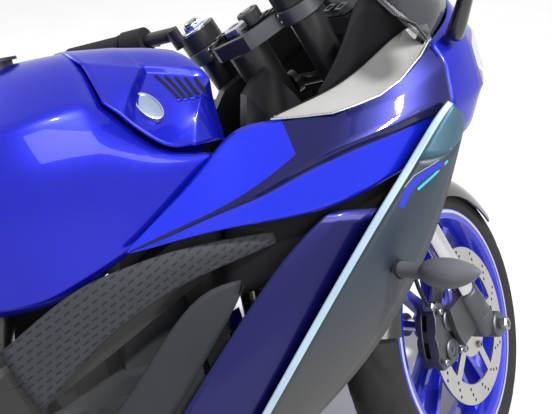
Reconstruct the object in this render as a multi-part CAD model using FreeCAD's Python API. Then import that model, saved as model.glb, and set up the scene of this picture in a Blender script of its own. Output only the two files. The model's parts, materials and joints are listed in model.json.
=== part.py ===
import FreeCAD, Part
import functools
import math
import os

# Sport bike, standing on its side stand with the steering on its left stop.
# All sizes are millimetres. The bike is laid out upright with the steering straight:
# X forward, Y to the left, Z up, origin on the ground under the middle of the chassis.
# The last section turns the front end to its stop and leans the bike on its stand.

# Wheels and their places
REAR_AXLE_X = -690.0
FRONT_TYRE_RADIUS = 293.0
FRONT_TYRE_WIDTH = 110.0
REAR_TYRE_RADIUS = 314.0
REAR_TYRE_WIDTH = 140.0
BEAD_RADIUS = 216.0
FLANGE_HEIGHT = 12.0
RIM_WALL = 8.0
FRONT_RIM_WIDTH = 92.0
REAR_RIM_WIDTH = 118.0
TYRE_WALL = 11.0
SPOKE_PAIRS = 5
SPOKE_WIDTH = 17.0
SPOKE_DEPTH = 30.0
AXLE_RADIUS = 8.0
HUB_RADIUS = 30.0
FRONT_HUB_LENGTH = 92.0
REAR_HUB_LENGTH = 132.0

# Steering
STEER_GROUND_X = 785.0
RAKE = 25.0
FORK_OFFSET = 30.0
AXLE_LEAD = 7.7
FORK_HALF_SPACING = 97.0
STEER_STOP = 32.0
FORK_OUTER_RADIUS = 25.0
FORK_INNER_RADIUS = 18.5
FORK_TOP = 1030.0
TOP_CLAMP_S = 990.0
LOWER_CLAMP_S = 806.0
CLAMP_DEPTH = 24.0
FORK_SEAL_S = 590.0
STEM_RADIUS = 14.0
HEAD_TUBE_RADIUS = 27.0

# Brakes and drive
DISC_THICKNESS = 4.5
DRILLING_RADIUS = 3.2
FRONT_DISC_RADIUS = 149.0
FRONT_DISC_INNER = 112.0
FRONT_DISC_Y = -62.0
REAR_DISC_RADIUS = 110.0
REAR_DISC_INNER = 76.0
REAR_DISC_Y = -84.0
CHAIN_Y = 88.0
CHAIN_PITCH = 15.875
PLATE_HEIGHT = 12.0
PLATE_WALL = 2.0
ROLLER_RADIUS = 5.0
ROLLER_WIDTH = 9.0
FRONT_SPROCKET_RADIUS = 36.0
REAR_SPROCKET_RADIUS = 108.0
SPROCKET_THICKNESS = 6.0
OUTPUT_X = -72.0
OUTPUT_Z = 400.0

# Chassis
PIVOT_X = -130.0
PIVOT_Z = 395.0
PIVOT_RADIUS = 20.0
ARM_INNER_Y = 99.0
ARM_WALL = 28.0
ARM_HEIGHT = 44.0
FRAME_PLATE_Y = 130.0
FRAME_PLATE_WALL = 14.0
SPAR_WIDTH = 26.0
CROSSBAR_HALF = 118.0
CROSSBAR_RADIUS = 16.0
CROSSBAR_X = -70.0
CROSSBAR_Z = 534.0
CRANKCASE_HALF = 98.0
PANEL_WALL = 4.0
SCREEN_WALL = 3.0

# Parked attitude
LEAN = 12.5
STAND_RADIUS = 11.0
FOOT_THICKNESS = 8.0

# Clearances
FIT = 0.3
SEAM = 3.0
RUN_GAP = 3.0
LAMP_GAP = 1.6
SCREEN_GAP = 1.5


once = functools.lru_cache(None)


def vec(x, y, z):
    return FreeCAD.Vector(x, y, z)


ORIGIN = vec(0, 0, 0)
AXIS_X = vec(1, 0, 0)
AXIS_Y = vec(0, 1, 0)
AXIS_Z = vec(0, 0, 1)

rake = math.radians(RAKE)
steer_up = vec(-math.sin(rake), 0, math.cos(rake))
steer_ahead = vec(math.cos(rake), 0, math.sin(rake))
steer_foot = vec(STEER_GROUND_X, 0, 0)
axle_ahead = FORK_OFFSET + AXLE_LEAD
AXLE_S = (FRONT_TYRE_RADIUS - axle_ahead * math.sin(rake)) / math.cos(rake)


def on_axis(s, ahead=0.0, y=0.0):
    """A point s up the steering axis, moved ahead of it and sideways."""
    return steer_foot + steer_up * s + steer_ahead * ahead + vec(0, y, 0)


def axis_x(z):
    """Where the steering axis is at height z."""
    return STEER_GROUND_X - z * math.tan(rake)


front_axle = on_axis(AXLE_S, axle_ahead)
rear_axle = vec(REAR_AXLE_X, 0, REAR_TYRE_RADIUS)


# Shape helpers

def rod(start, end, radius):
    return Part.makeCylinder(radius, (end - start).Length, start, end - start)


def cross_rod(centre, y0, y1, radius):
    return Part.makeCylinder(radius, y1 - y0, vec(centre.x, y0, centre.z), AXIS_Y)


def slab(x0, x1, y0, y1, z0, z1):
    return Part.makeBox(x1 - x0, y1 - y0, z1 - z0, vec(x0, y0, z0))


def outline_face(points):
    return Part.Face(Part.makePolygon(points + [points[0]]))


def prism(outline, y0, y1):
    """A side-view outline of (x, z) points, as thick as y0 to y1."""
    face = outline_face([vec(x, y0, z) for x, z in outline])
    return face.extrude(vec(0, y1 - y0, 0))


def turned(profile, centre):
    """A profile of (radius, y) points turned about a wheel's axle."""
    face = outline_face([vec(centre.x + r, y, centre.z) for r, y in profile])
    return face.revolve(centre, AXIS_Y, 360)


def fuse(shapes):
    whole = shapes[0]
    for shape in shapes[1:]:
        whole = whole.fuse(shape)
    return whole.removeSplitter()


def cut(shape, tools):
    for tool in tools:
        shape = shape.cut(tool)
    return shape


def mirrored(shape):
    return shape.mirror(ORIGIN, AXIS_Y)


def pair(shape):
    return Part.makeCompound([shape, mirrored(shape)])


def loft(sections, ruled=True):
    wires = [Part.makePolygon(points + [points[0]]) for points in sections]
    return Part.makeLoft(wires, True, ruled)


def pipe(points, radius, bend):
    """A round tube through points, each corner rounded by an arc of the bend radius."""
    edges = []
    start = points[0]
    for before, corner, after in zip(points, points[1:], points[2:]):
        a = (before - corner).normalize()
        b = (after - corner).normalize()
        half = a.getAngle(b) / 2
        reach = bend / math.tan(half)
        middle = (a + b).normalize()
        depth = bend / math.sin(half) - bend
        p, q = corner + a * reach, corner + b * reach
        edges.append(Part.LineSegment(start, p).toShape())
        edges.append(Part.Arc(p, corner + middle * depth, q).toShape())
        start = q
    edges.append(Part.LineSegment(start, points[-1]).toShape())
    circle = Part.makeCircle(radius, points[0], points[1] - points[0])
    return Part.Wire(edges).makePipeShell([Part.Wire([circle])], True, False)


def beam(stations, y_side=1):
    """A box beam. Each station is (x, y, z, slope in degrees, height, width)."""
    sections = []
    for x, y, z, slope, height, width in stations:
        across = vec(0, width / 2, 0)
        lean = math.radians(slope)
        up = vec(-math.sin(lean), 0, math.cos(lean)) * (height / 2)
        centre = vec(x, y * y_side, z)
        sections.append([centre - across - up, centre + across - up,
                         centre + across + up, centre - across + up])
    return loft(sections)


def skin(rows, wall, holes=(), across=None):
    """A thin faceted panel over a grid of outer points; holes names the open cells.

    A panel that spans the bike gives across, the way its grid runs from side to side:
    its facets then match on both sides.
    """
    grid = [[vec(*point) for point in row] for row in rows]
    tall, wide = len(grid), len(grid[0])

    def normal(i, j):
        up = grid[min(i + 1, tall - 1)][j] - grid[max(i - 1, 0)][j]
        along = grid[i][min(j + 1, wide - 1)] - grid[i][max(j - 1, 0)]
        return along.cross(up).normalize()

    inner = [[grid[i][j] - normal(i, j) * wall for j in range(wide)] for i in range(tall)]
    cells = [(i, j) for i in range(tall - 1) for j in range(wide - 1) if (i, j) not in holes]
    faces = []

    def triangle(a, b, c):
        faces.append(outline_face([a, b, c]))

    for i, j in cells:
        corners = [(i, j), (i, j + 1), (i + 1, j + 1), (i + 1, j)]
        for sheet in (grid, inner):
            a, b, c, d = [sheet[p][q] for p, q in corners]
            far_side = {"rows": 2 * i >= tall - 1, "columns": 2 * j >= wide - 1}.get(across)
            if far_side:
                a, b, c, d = b, c, d, a
            triangle(a, b, c)
            triangle(a, c, d)
        sides = [((i - 1, j), 0, 1), ((i, j + 1), 1, 2), ((i + 1, j), 2, 3), ((i, j - 1), 3, 0)]
        for neighbour, first, last in sides:
            if neighbour in cells:
                continue
            (p, q), (s, t) = corners[first], corners[last]
            triangle(grid[p][q], grid[s][t], inner[s][t])
            triangle(grid[p][q], inner[s][t], inner[p][q])
    solid = Part.Solid(Part.Shell(faces))
    if solid.Volume < 0:
        solid.reverse()
    return solid.removeSplitter()


def hits(start, way, shape):
    """How far along a line from start it meets the shape's faces."""
    edge = Part.makeLine(start, start + way * 600).common(shape)
    return sorted((vertex.Point - start).Length for vertex in edge.Vertexes)


def boss(piece, carrier, start, way, radius=5.0):
    """A boss on a piece, running back to the carrier that it is fastened to."""
    reach = hits(start, way, piece)[0]
    root = [far for far in hits(start, way, carrier) if far < reach][-1]
    stub = rod(start + way * max(root - radius, 0), start + way * (reach + 1.5), radius)
    room = carrier.copy()
    room.translate(way * FIT)
    stub = stub.cut(room).cut(carrier)
    solid = max(stub.Solids, key=lambda part: part.CenterOfMass.sub(start).Length)
    return solid


def fastened(piece, carrier, places, radius=5.0):
    """A piece with its bosses; each place is a start point and a way towards the piece."""
    bosses = [boss(piece, carrier, vec(*start), vec(*way).normalize(), radius)
              for start, way in places]
    return fuse([piece] + bosses)


def fastened_pair(piece, carrier, places, radius=5.0):
    """A right-hand piece fastened by its places, and its mirror image."""
    return pair(fastened(piece, carrier, places, radius))


# Wheels

def rim(centre, width, hub_length, bore):
    half = width / 2
    flange = BEAD_RADIUS + FLANGE_HEIGHT
    well = BEAD_RADIUS - 16
    barrel = turned([
        (flange, half), (flange, half - 6), (BEAD_RADIUS, half - RIM_WALL),
        (BEAD_RADIUS - 2, half - 24), (well, half - 32),
        (well, 32 - half), (BEAD_RADIUS - 2, 24 - half),
        (BEAD_RADIUS, RIM_WALL - half), (flange, 6 - half), (flange, -half),
        (BEAD_RADIUS - RIM_WALL, 2 - half), (well - RIM_WALL, 30 - half),
        (well - RIM_WALL, half - 30), (BEAD_RADIUS - RIM_WALL, half - 2)], centre)
    hub = cross_rod(centre, -hub_length / 2, hub_length / 2, HUB_RADIUS)
    pieces = [barrel, hub]
    for step in range(SPOKE_PAIRS):
        for side in (-1, 1):
            foot = math.radians(360 / SPOKE_PAIRS * step + side * 16)
            tip = math.radians(360 / SPOKE_PAIRS * step + side * 10)
            sections = []
            for radius, angle, width_here, depth in (
                    (HUB_RADIUS * 0.6, foot, SPOKE_WIDTH * 1.3, SPOKE_DEPTH * 1.3),
                    (well - RIM_WALL / 2, tip, SPOKE_WIDTH, SPOKE_DEPTH)):
                out = vec(math.cos(angle), 0, math.sin(angle))
                side_way = vec(-math.sin(angle), 0, math.cos(angle)) * (width_here / 2)
                deep = vec(0, depth / 2, 0)
                mid = centre + out * radius
                sections.append([mid - side_way - deep, mid + side_way - deep,
                                 mid + side_way + deep, mid - side_way + deep])
            pieces.append(loft(sections))
    whole = fuse(pieces)
    return cut(whole, [cross_rod(centre, -hub_length, hub_length, bore)])


def tyre(centre, radius, width, rim_width):
    """A tyre with a round crown, walls down to the beads and air inside."""
    crown = width / 2
    middle = radius - crown
    bead_out = rim_width / 2 - RIM_WALL - FIT
    bead_in = bead_out - TYRE_WALL
    seat = BEAD_RADIUS + FIT

    def at(r, y):
        return vec(centre.x + r, y, centre.z)

    inner = crown - TYRE_WALL
    edges = [
        Part.Arc(at(middle, -crown), at(radius, 0), at(middle, crown)).toShape(),
        Part.LineSegment(at(middle, crown), at(seat, bead_out)).toShape(),
        Part.LineSegment(at(seat, bead_out), at(seat, bead_in)).toShape(),
        Part.LineSegment(at(seat, bead_in), at(middle, inner)).toShape(),
        Part.Arc(at(middle, inner), at(middle + inner, 0), at(middle, -inner)).toShape(),
        Part.LineSegment(at(middle, -inner), at(seat, -bead_in)).toShape(),
        Part.LineSegment(at(seat, -bead_in), at(seat, -bead_out)).toShape(),
        Part.LineSegment(at(seat, -bead_out), at(middle, -crown)).toShape()]
    face = Part.Face(Part.Wire(edges))
    ring = face.revolve(centre, AXIS_Y, 360)
    flange = turned([
        (seat - 1, rim_width / 2 + FIT), (BEAD_RADIUS + FLANGE_HEIGHT + FIT, rim_width / 2 + FIT),
        (BEAD_RADIUS + FLANGE_HEIGHT + FIT, rim_width / 2 - 6 - FIT),
        (seat - 1, bead_out)], centre)
    return cut(ring, [flange, flange.mirror(centre, AXIS_Y)])


def disc(centre, y, outer, inner, hub_side, mount_radius, arms):
    """A drilled brake disc with a scalloped inner edge, arms and a hub ring."""
    y0, y1 = y - DISC_THICKNESS / 2, y + DISC_THICKNESS / 2
    ring = cut(cross_rod(centre, y0, y1, outer), [cross_rod(centre, y0 - 1, y1 + 1, inner)])
    hub_ring = cut(cross_rod(centre, y0, y1, mount_radius + 9),
                   [cross_rod(centre, y0 - 1, y1 + 1, hub_side)])
    pieces = [ring, hub_ring]
    for step in range(arms):
        angle = math.radians(360 / arms * step)
        out = vec(math.cos(angle), 0, math.sin(angle))
        side = vec(-math.sin(angle), 0, math.cos(angle)) * 9
        near, far = centre + out * mount_radius, centre + out * (inner + 4)
        outline = [(p.x, p.z) for p in (near - side, far - side, far + side, near + side)]
        pieces.append(prism(outline, y0, y1))
    whole = fuse(pieces)
    holes = []
    for step in range(arms * 3):
        for share, turn in ((0.24, 0), (0.5, 4), (0.76, 8)):
            angle = math.radians(360 / (arms * 3) * step + turn)
            place = centre + vec(math.cos(angle), 0, math.sin(angle)) * (
                inner + (outer - inner) * share)
            holes.append(cross_rod(place, y0 - 1, y1 + 1, DRILLING_RADIUS))
    return cut(whole, holes)


def front_rim():
    return rim(front_axle, FRONT_RIM_WIDTH, FRONT_HUB_LENGTH, AXLE_RADIUS + FIT)


def front_tyre():
    return tyre(front_axle, FRONT_TYRE_RADIUS, FRONT_TYRE_WIDTH, FRONT_RIM_WIDTH)


def front_disc():
    carrier_y = -FRONT_HUB_LENGTH / 2
    face = FRONT_DISC_Y + DISC_THICKNESS / 2
    ring = disc(front_axle, FRONT_DISC_Y, FRONT_DISC_RADIUS, FRONT_DISC_INNER, 22, 52, 5)
    boss = cut(cross_rod(front_axle, face, carrier_y, HUB_RADIUS),
               [cross_rod(front_axle, face - 1, carrier_y + 1, 22)])
    return fuse([ring, boss])


def rear_rim():
    return rim(rear_axle, REAR_RIM_WIDTH, REAR_HUB_LENGTH, AXLE_RADIUS + FIT)


def rear_tyre():
    return tyre(rear_axle, REAR_TYRE_RADIUS, REAR_TYRE_WIDTH, REAR_RIM_WIDTH)


def rear_disc():
    carrier_y = -REAR_HUB_LENGTH / 2
    face = REAR_DISC_Y + DISC_THICKNESS / 2
    ring = disc(rear_axle, REAR_DISC_Y, REAR_DISC_RADIUS, REAR_DISC_INNER, 20, 46, 5)
    boss = cut(cross_rod(rear_axle, face, carrier_y, HUB_RADIUS),
               [cross_rod(rear_axle, face - 1, carrier_y + 1, 20)])
    return fuse([ring, boss])


def rear_sprocket():
    y0, y1 = CHAIN_Y - SPROCKET_THICKNESS / 2, CHAIN_Y + SPROCKET_THICKNESS / 2
    outer = REAR_SPROCKET_RADIUS - ROLLER_RADIUS - 2 * FIT
    carrier = cross_rod(rear_axle, REAR_HUB_LENGTH / 2, y0, HUB_RADIUS + 22)
    plate = cross_rod(rear_axle, y0, y1, outer)
    windows = []
    for step in range(6):
        angle = math.radians(60 * step + 30)
        place = rear_axle + vec(math.cos(angle), 0, math.sin(angle)) * (outer - 24)
        windows.append(cross_rod(place, y0 - 1, y1 + 1, 13))
    bore = cross_rod(rear_axle, 0, y1 + 1, AXLE_RADIUS + FIT)
    teeth = round(2 * math.pi * REAR_SPROCKET_RADIUS / CHAIN_PITCH)
    valleys = []
    for step in range(teeth):
        angle = 2 * math.pi * step / teeth
        place = rear_axle + vec(math.cos(angle), 0, math.sin(angle)) * (outer + 1.5)
        valleys.append(cross_rod(place, y0 - 1, y1 + 1, ROLLER_RADIUS))
    return cut(fuse([carrier, plate]), windows + valleys + [bore])


# Front end, carried by the steering

def clamp_plate(s, depth, back, grip):
    """A fork clamp: a web from leg to leg and a ring about each leg."""
    centre = on_axis(s)
    half = FORK_HALF_SPACING
    ring = FORK_OUTER_RADIUS + grip
    down, up = on_axis(s - depth / 2), on_axis(s + depth / 2)
    outline = [(-back, -34), (-back, 34), (FORK_OFFSET - 12, half), (FORK_OFFSET + 14, half),
               (FORK_OFFSET + 22, 0), (FORK_OFFSET + 14, -half), (FORK_OFFSET - 12, -half)]
    face = outline_face([down + steer_ahead * a + vec(0, y, 0) for a, y in outline])
    web = face.extrude(up - down)
    rings = [rod(on_axis(s - depth / 2, FORK_OFFSET, side * half),
                 on_axis(s + depth / 2, FORK_OFFSET, side * half), ring) for side in (-1, 1)]
    legs = [rod(on_axis(s - depth, FORK_OFFSET, side * half),
                on_axis(s + depth, FORK_OFFSET, side * half), FORK_OUTER_RADIUS + FIT)
            for side in (-1, 1)]
    return cut(fuse([web] + rings), legs)


def triple_clamps():
    top = clamp_plate(TOP_CLAMP_S, CLAMP_DEPTH, 30, 8)
    slots = []
    for side in (-1, 1):
        for y in (34, 49, 64):
            low = on_axis(TOP_CLAMP_S + 2, FORK_OFFSET + 2, side * y)
            slots.append(rod(low, low + steer_up * CLAMP_DEPTH, 5.5))
    top = cut(top, slots)
    lower = clamp_plate(LOWER_CLAMP_S, CLAMP_DEPTH * 1.3, 32, 9)
    stem = rod(on_axis(LOWER_CLAMP_S - CLAMP_DEPTH * 0.65), on_axis(TOP_CLAMP_S + 22),
               STEM_RADIUS)
    nut = rod(on_axis(TOP_CLAMP_S + CLAMP_DEPTH / 2), on_axis(TOP_CLAMP_S + 22), 19)
    bore = rod(on_axis(LOWER_CLAMP_S - 60), on_axis(TOP_CLAMP_S + 60), STEM_RADIUS - 5)
    return cut(fuse([top, lower, stem, nut]), [bore])


def fork_tubes():
    side = 1
    tube = rod(on_axis(FORK_SEAL_S, FORK_OFFSET, side * FORK_HALF_SPACING),
               on_axis(FORK_TOP, FORK_OFFSET, side * FORK_HALF_SPACING), FORK_OUTER_RADIUS)
    seal = rod(on_axis(FORK_SEAL_S - 12, FORK_OFFSET, side * FORK_HALF_SPACING),
               on_axis(FORK_SEAL_S + 16, FORK_OFFSET, side * FORK_HALF_SPACING),
               FORK_OUTER_RADIUS + 3)
    bore = rod(on_axis(FORK_SEAL_S - 20, FORK_OFFSET, side * FORK_HALF_SPACING),
               on_axis(FORK_SEAL_S + 60, FORK_OFFSET, side * FORK_HALF_SPACING),
               FORK_INNER_RADIUS + FIT)
    cap = rod(on_axis(FORK_TOP, FORK_OFFSET, side * FORK_HALF_SPACING),
              on_axis(FORK_TOP + 9, FORK_OFFSET, side * FORK_HALF_SPACING), 15)
    return pair(cut(fuse([tube, seal, cap]), [bore]))


CASTING_RADIUS = 26.0
BOSS_HALF = 28.0
CALIPER_GRIP = 27.0
LUG_Y = FRONT_DISC_Y - CALIPER_GRIP


def caliper_point(radius, angle):
    """A point beside the front disc; the angle is up from straight behind the axle."""
    turn = math.radians(180 - angle)
    return front_axle + vec(math.cos(turn), 0, math.sin(turn)) * radius


def fork_legs():
    legs = []
    for side in (-1, 1):
        y = side * FORK_HALF_SPACING
        slider = rod(on_axis(AXLE_S + 40, FORK_OFFSET, y), on_axis(FORK_SEAL_S + 50, FORK_OFFSET, y),
                     FORK_INNER_RADIUS)
        casting = rod(on_axis(AXLE_S - 4, FORK_OFFSET, y), on_axis(AXLE_S + 105, FORK_OFFSET, y),
                      CASTING_RADIUS)
        boss = cross_rod(front_axle, y - BOSS_HALF, y + BOSS_HALF, 24)
        pieces = [slider, casting, boss]
        if side < 0:
            a, b = caliper_point(104, 4), caliper_point(148, 34)
            c, d = on_axis(AXLE_S + 100, FORK_OFFSET, y), on_axis(AXLE_S + 20, FORK_OFFSET, y)
            pieces.append(prism([(a.x, a.z), (b.x, b.z), (c.x, c.z), (d.x, d.z)],
                                LUG_Y - 12 - FIT, LUG_Y - FIT))
        leg = fuse(pieces)
        legs.append(cut(leg, [cross_rod(front_axle, y - 60, y + 60, AXLE_RADIUS + FIT)]))
    return Part.makeCompound(legs)


def front_axle_bar():
    reach = FORK_HALF_SPACING + BOSS_HALF + 8
    inner = FORK_HALF_SPACING - BOSS_HALF - FIT
    bar = cross_rod(front_axle, -reach, reach, AXLE_RADIUS)
    head = cross_rod(front_axle, FORK_HALF_SPACING + BOSS_HALF + FIT, reach, 14)
    left = cross_rod(front_axle, FRONT_HUB_LENGTH / 2 + 1, inner, 13)
    right = cross_rod(front_axle, -inner, FRONT_DISC_Y - DISC_THICKNESS / 2 - 1, 13)
    return fuse([bar, head, left, right])


def caliper_block(axle_place, disc_y, disc_radius, first, last, low, high, deep, slot):
    """A brake caliper: a sector of a ring cut through for the disc."""
    points = []
    for radius, angle in ((low, first), (high, first), (high + 4, (first + last) / 2),
                          (high, last), (low, last)):
        turn = math.radians(180 - angle)
        points.append((axle_place.x + math.cos(turn) * radius,
                       axle_place.z + math.sin(turn) * radius))
    block = prism(points, disc_y - deep, disc_y + deep * 0.8)
    gap = cross_rod(vec(axle_place.x, 0, axle_place.z), disc_y - slot, disc_y + slot,
                    disc_radius + RUN_GAP)
    return cut(block, [gap])


def front_caliper():
    block = caliper_block(front_axle, FRONT_DISC_Y, FRONT_DISC_RADIUS, -4, 38, 98,
                          FRONT_DISC_RADIUS + 22, CALIPER_GRIP, DISC_THICKNESS / 2 + RUN_GAP)
    return block


def front_mudguard():
    crown = FRONT_TYRE_WIDTH / 2
    middle = FRONT_TYRE_RADIUS - crown
    inside, outside = crown + 8, crown + 8 + PANEL_WALL

    def at(radius, angle):
        a = math.radians(angle)
        return vec(front_axle.x + middle + radius * math.cos(a), radius * math.sin(a),
                   front_axle.z)

    edges = [Part.Arc(at(outside, -80), at(outside, 0), at(outside, 80)).toShape(),
             Part.LineSegment(at(outside, 80), at(inside, 80)).toShape(),
             Part.Arc(at(inside, 80), at(inside, 0), at(inside, -80)).toShape(),
             Part.LineSegment(at(inside, -80), at(outside, -80)).toShape()]
    face = Part.Face(Part.Wire(edges))
    face.rotate(front_axle, AXIS_Y, -35)
    shell = face.revolve(front_axle, AXIS_Y, -125)
    ears = []
    for side in (-1, 1):
        ear_s = AXLE_S + middle + 12
        low = on_axis(ear_s, FORK_OFFSET, side * (inside - 3))
        high = on_axis(ear_s, FORK_OFFSET, side * (FORK_HALF_SPACING - FORK_INNER_RADIUS + 4))
        ears.append(rod(low, high, 12))
    legs = [rod(on_axis(AXLE_S, FORK_OFFSET, side * FORK_HALF_SPACING),
                on_axis(FORK_SEAL_S + 50, FORK_OFFSET, side * FORK_HALF_SPACING),
                FORK_INNER_RADIUS + FIT) for side in (-1, 1)]
    return cut(fuse([shell] + ears), legs)


GRIP_LENGTH = 120.0
BAR_RADIUS = 11.0
COLLAR_LOW = TOP_CLAMP_S + CLAMP_DEPTH / 2 + FIT
COLLAR_HIGH = FORK_TOP - 1
BAR_S = FORK_TOP + 10


def bar_points(side):
    root = on_axis(BAR_S, FORK_OFFSET - 20, side * (FORK_HALF_SPACING + 21))
    tip = root + vec(-62, side * 212, 30)
    return root, tip


def handlebars():
    bars = []
    for side in (-1, 1):
        root, tip = bar_points(side)
        way = (tip - root).normalize()
        bar = rod(root, tip, BAR_RADIUS)
        grip = rod(tip - way * GRIP_LENGTH, tip - way * 8, 17)
        weight = rod(tip - way * 2, tip + way * 24, 15)
        low = on_axis(COLLAR_LOW, FORK_OFFSET, side * FORK_HALF_SPACING)
        high = on_axis(COLLAR_HIGH, FORK_OFFSET, side * FORK_HALF_SPACING)
        collar = rod(low, high, FORK_OUTER_RADIUS + 8)
        post = rod(root - steer_up * 22, root + steer_up * 9, 14)
        bars.append(fuse([bar, grip, weight, collar, post]))
    posts = [rod(on_axis(COLLAR_LOW - 40, FORK_OFFSET, side * FORK_HALF_SPACING),
                 on_axis(COLLAR_HIGH + 40, FORK_OFFSET, side * FORK_HALF_SPACING),
                 FORK_OUTER_RADIUS + FIT)
             for side in (-1, 1)]
    return Part.makeCompound([cut(bar, posts) for bar in bars])


def hand_controls():
    pieces = []
    for side in (-1, 1):
        root, tip = bar_points(side)
        way = (tip - root).normalize()
        base = tip - way * (GRIP_LENGTH + 26)
        housing = rod(base - way * 20, base + way * 20, 22)
        ahead = vec(1, 0, 0)
        clamp = rod(base + ahead * 12, base + ahead * 46, 9)
        lever = loft([
            [base + ahead * 40 + vec(0, 0, z) + vec(x, 0, 0) for x, z in
             ((-7, -6), (7, -6), (7, 6), (-7, 6))],
            [tip + ahead * 52 + way * 6 + vec(0, 0, z) + vec(x, 0, 0) for x, z in
             ((-6, -4), (6, -4), (6, 4), (-6, 4))]])
        pot = rod(base + ahead * 20 + vec(0, 0, 12), base + ahead * 20 + vec(0, 0, 34), 17)
        whole = fuse([housing, clamp, lever, pot] if side < 0 else [housing, clamp, lever])
        bar_room = rod(root, tip, BAR_RADIUS + FIT)
        pieces.append(cut(whole, [bar_room]))
    return Part.makeCompound(pieces)


HOSE_RADIUS = 3.5


def brake_hose():
    end_s = LOWER_CLAMP_S - CLAMP_DEPTH * 0.65 - FIT
    start = caliper_point(FRONT_DISC_RADIUS + 27, 34) + vec(0, FRONT_DISC_Y - 14, 0)
    points = [start,
              start + vec(-30, 0, 60),
              on_axis(AXLE_S + 270, -14, -FORK_HALF_SPACING + 2),
              on_axis(end_s - 90, -8, -36),
              on_axis(end_s, -8, -36)]
    return pipe(points, HOSE_RADIUS, 36)


# Chassis

HEAD_LOW_S = LOWER_CLAMP_S + CLAMP_DEPTH * 0.65 + 2
HEAD_HIGH_S = TOP_CLAMP_S - CLAMP_DEPTH / 2 - 2


def head_tube():
    tube = rod(on_axis(HEAD_LOW_S), on_axis(HEAD_HIGH_S), HEAD_TUBE_RADIUS + 4)
    bore = rod(on_axis(HEAD_LOW_S - 1), on_axis(HEAD_HIGH_S + 1), STEM_RADIUS + 1)
    return cut(tube, [bore])


@once
def main_frame():
    """The frame's two sides: each a spar, a pivot plate and an engine hanger."""
    low = on_axis(HEAD_LOW_S + 78)
    # x, y, z, slope, height, width
    stations = [
        (low.x + 4, 22, low.z + 8, 40, 80, 30),
        (low.x - 42, 50, low.z - 24, 38, 80, SPAR_WIDTH),
        (322, 106, 712, 34, 76, SPAR_WIDTH),
        (220, 122, 652, 28, 70, SPAR_WIDTH),
        (60, 124, 578, 18, 66, SPAR_WIDTH),
        (-70, 132, 528, 40, 70, SPAR_WIDTH)]
    plate = [(-40, 548), (-92, 556), (-150, 500), (PIVOT_X - 44, PIVOT_Z + 20),
             (PIVOT_X - 40, PIVOT_Z - 40), (-110, 300), (-70, 300), (-62, 400)]
    hanger = [(176, 622), (222, 640), (232, 520), (222, 440), (196, 440), (190, 540)]
    head_room = rod(on_axis(HEAD_LOW_S - 30), on_axis(HEAD_HIGH_S + 30),
                    HEAD_TUBE_RADIUS + 4 + FIT)
    spindle = cross_rod(vec(PIVOT_X, 0, PIVOT_Z), -200, 200, 10 + FIT)
    sides = []
    for side in (-1, 1):
        pieces = [beam(stations, side)]
        y0, y1 = sorted((side * FRAME_PLATE_Y, side * (FRAME_PLATE_Y + FRAME_PLATE_WALL)))
        pieces.append(prism(plate, y0, y1))
        y0, y1 = sorted((side * (CRANKCASE_HALF + FIT), side * (CRANKCASE_HALF + 14)))
        pieces.append(prism(hanger, y0, y1))
        if side > 0:
            pieces.append(stand_bracket())
        sides.append(cut(fuse(pieces), [head_room, spindle]))
    return Part.makeCompound(sides)


def frame_crossbars():
    """The tubes between the pivot plates; the upper one meets the spars' ends."""
    upper = cross_rod(vec(CROSSBAR_X, 0, CROSSBAR_Z), FIT - CROSSBAR_HALF, CROSSBAR_HALF - FIT,
                      CROSSBAR_RADIUS)
    lower = cross_rod(vec(-84, 0, 318), FIT - FRAME_PLATE_Y, FRAME_PLATE_Y - FIT, 13)
    return Part.makeCompound([upper, lower])


@once
def seat_subframe():
    pieces = []
    for side in (-1, 1):
        rail = [vec(-84, side * 126, 580), vec(-200, side * 96, 680), vec(-430, side * 84, 770),
                vec(-760, side * 44, 858)]
        strut = [vec(-142, side * 112, 450), vec(-300, side * 100, 560), vec(-500, side * 80, 782)]
        pieces += [pipe(rail, 13, 90), pipe(strut, 11, 90)]
    for x, z, half in ((-430, 770, 84), (-640, 826, 58), (-752, 856, 45)):
        pieces.append(cross_rod(vec(x, 0, z), -half, half, 10))
    places = []
    for side in (-1, 1):
        places.append(((-84, side * 126, 515), (0, 0, 1)))
        places.append(((-146, side * 137, 453), (0, -side, 0)))
    return fastened(fuse(pieces), main_frame(), places, 8)


@once
def swingarm():
    tube = cut(cross_rod(vec(PIVOT_X, 0, PIVOT_Z), -(ARM_INNER_Y + ARM_WALL),
                         ARM_INNER_Y + ARM_WALL, PIVOT_RADIUS), [])
    centre = ARM_INNER_Y + ARM_WALL / 2
    slope = math.degrees(math.atan2(PIVOT_Z - rear_axle.z, PIVOT_X - rear_axle.x))
    pieces = [tube]
    for side in (-1, 1):
        pieces.append(beam([
            (PIVOT_X + 12, centre, PIVOT_Z, slope, ARM_HEIGHT * 0.86, ARM_WALL),
            (PIVOT_X - 200, centre, PIVOT_Z - 26, slope, ARM_HEIGHT * 1.4, ARM_WALL),
            (REAR_AXLE_X + 60, centre, rear_axle.z + 6, slope, ARM_HEIGHT, ARM_WALL),
            (REAR_AXLE_X - 60, centre, rear_axle.z - 4, slope, ARM_HEIGHT, ARM_WALL)], side))
    bridge = slab(PIVOT_X - 120, PIVOT_X - 80, -centre, centre, PIVOT_Z - 30, PIVOT_Z + 10)
    chain_room = slab(PIVOT_X - 140, PIVOT_X - 60, CHAIN_Y - 2 * ROLLER_WIDTH, ARM_INNER_Y,
                      PIVOT_Z + 4, PIVOT_Z + 60)
    lug = slab(PIVOT_X - 116, PIVOT_X - 84, -16, 16, PIVOT_Z, PIVOT_Z + 26)
    whole = fuse(pieces + [cut(bridge, [chain_room]), lug])
    reach = ARM_INNER_Y + ARM_WALL + 5
    bores = [cross_rod(rear_axle, -reach, reach, AXLE_RADIUS + FIT),
             cross_rod(vec(PIVOT_X, 0, PIVOT_Z), -reach, reach, 10 + FIT)]
    return cut(whole, bores)


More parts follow.
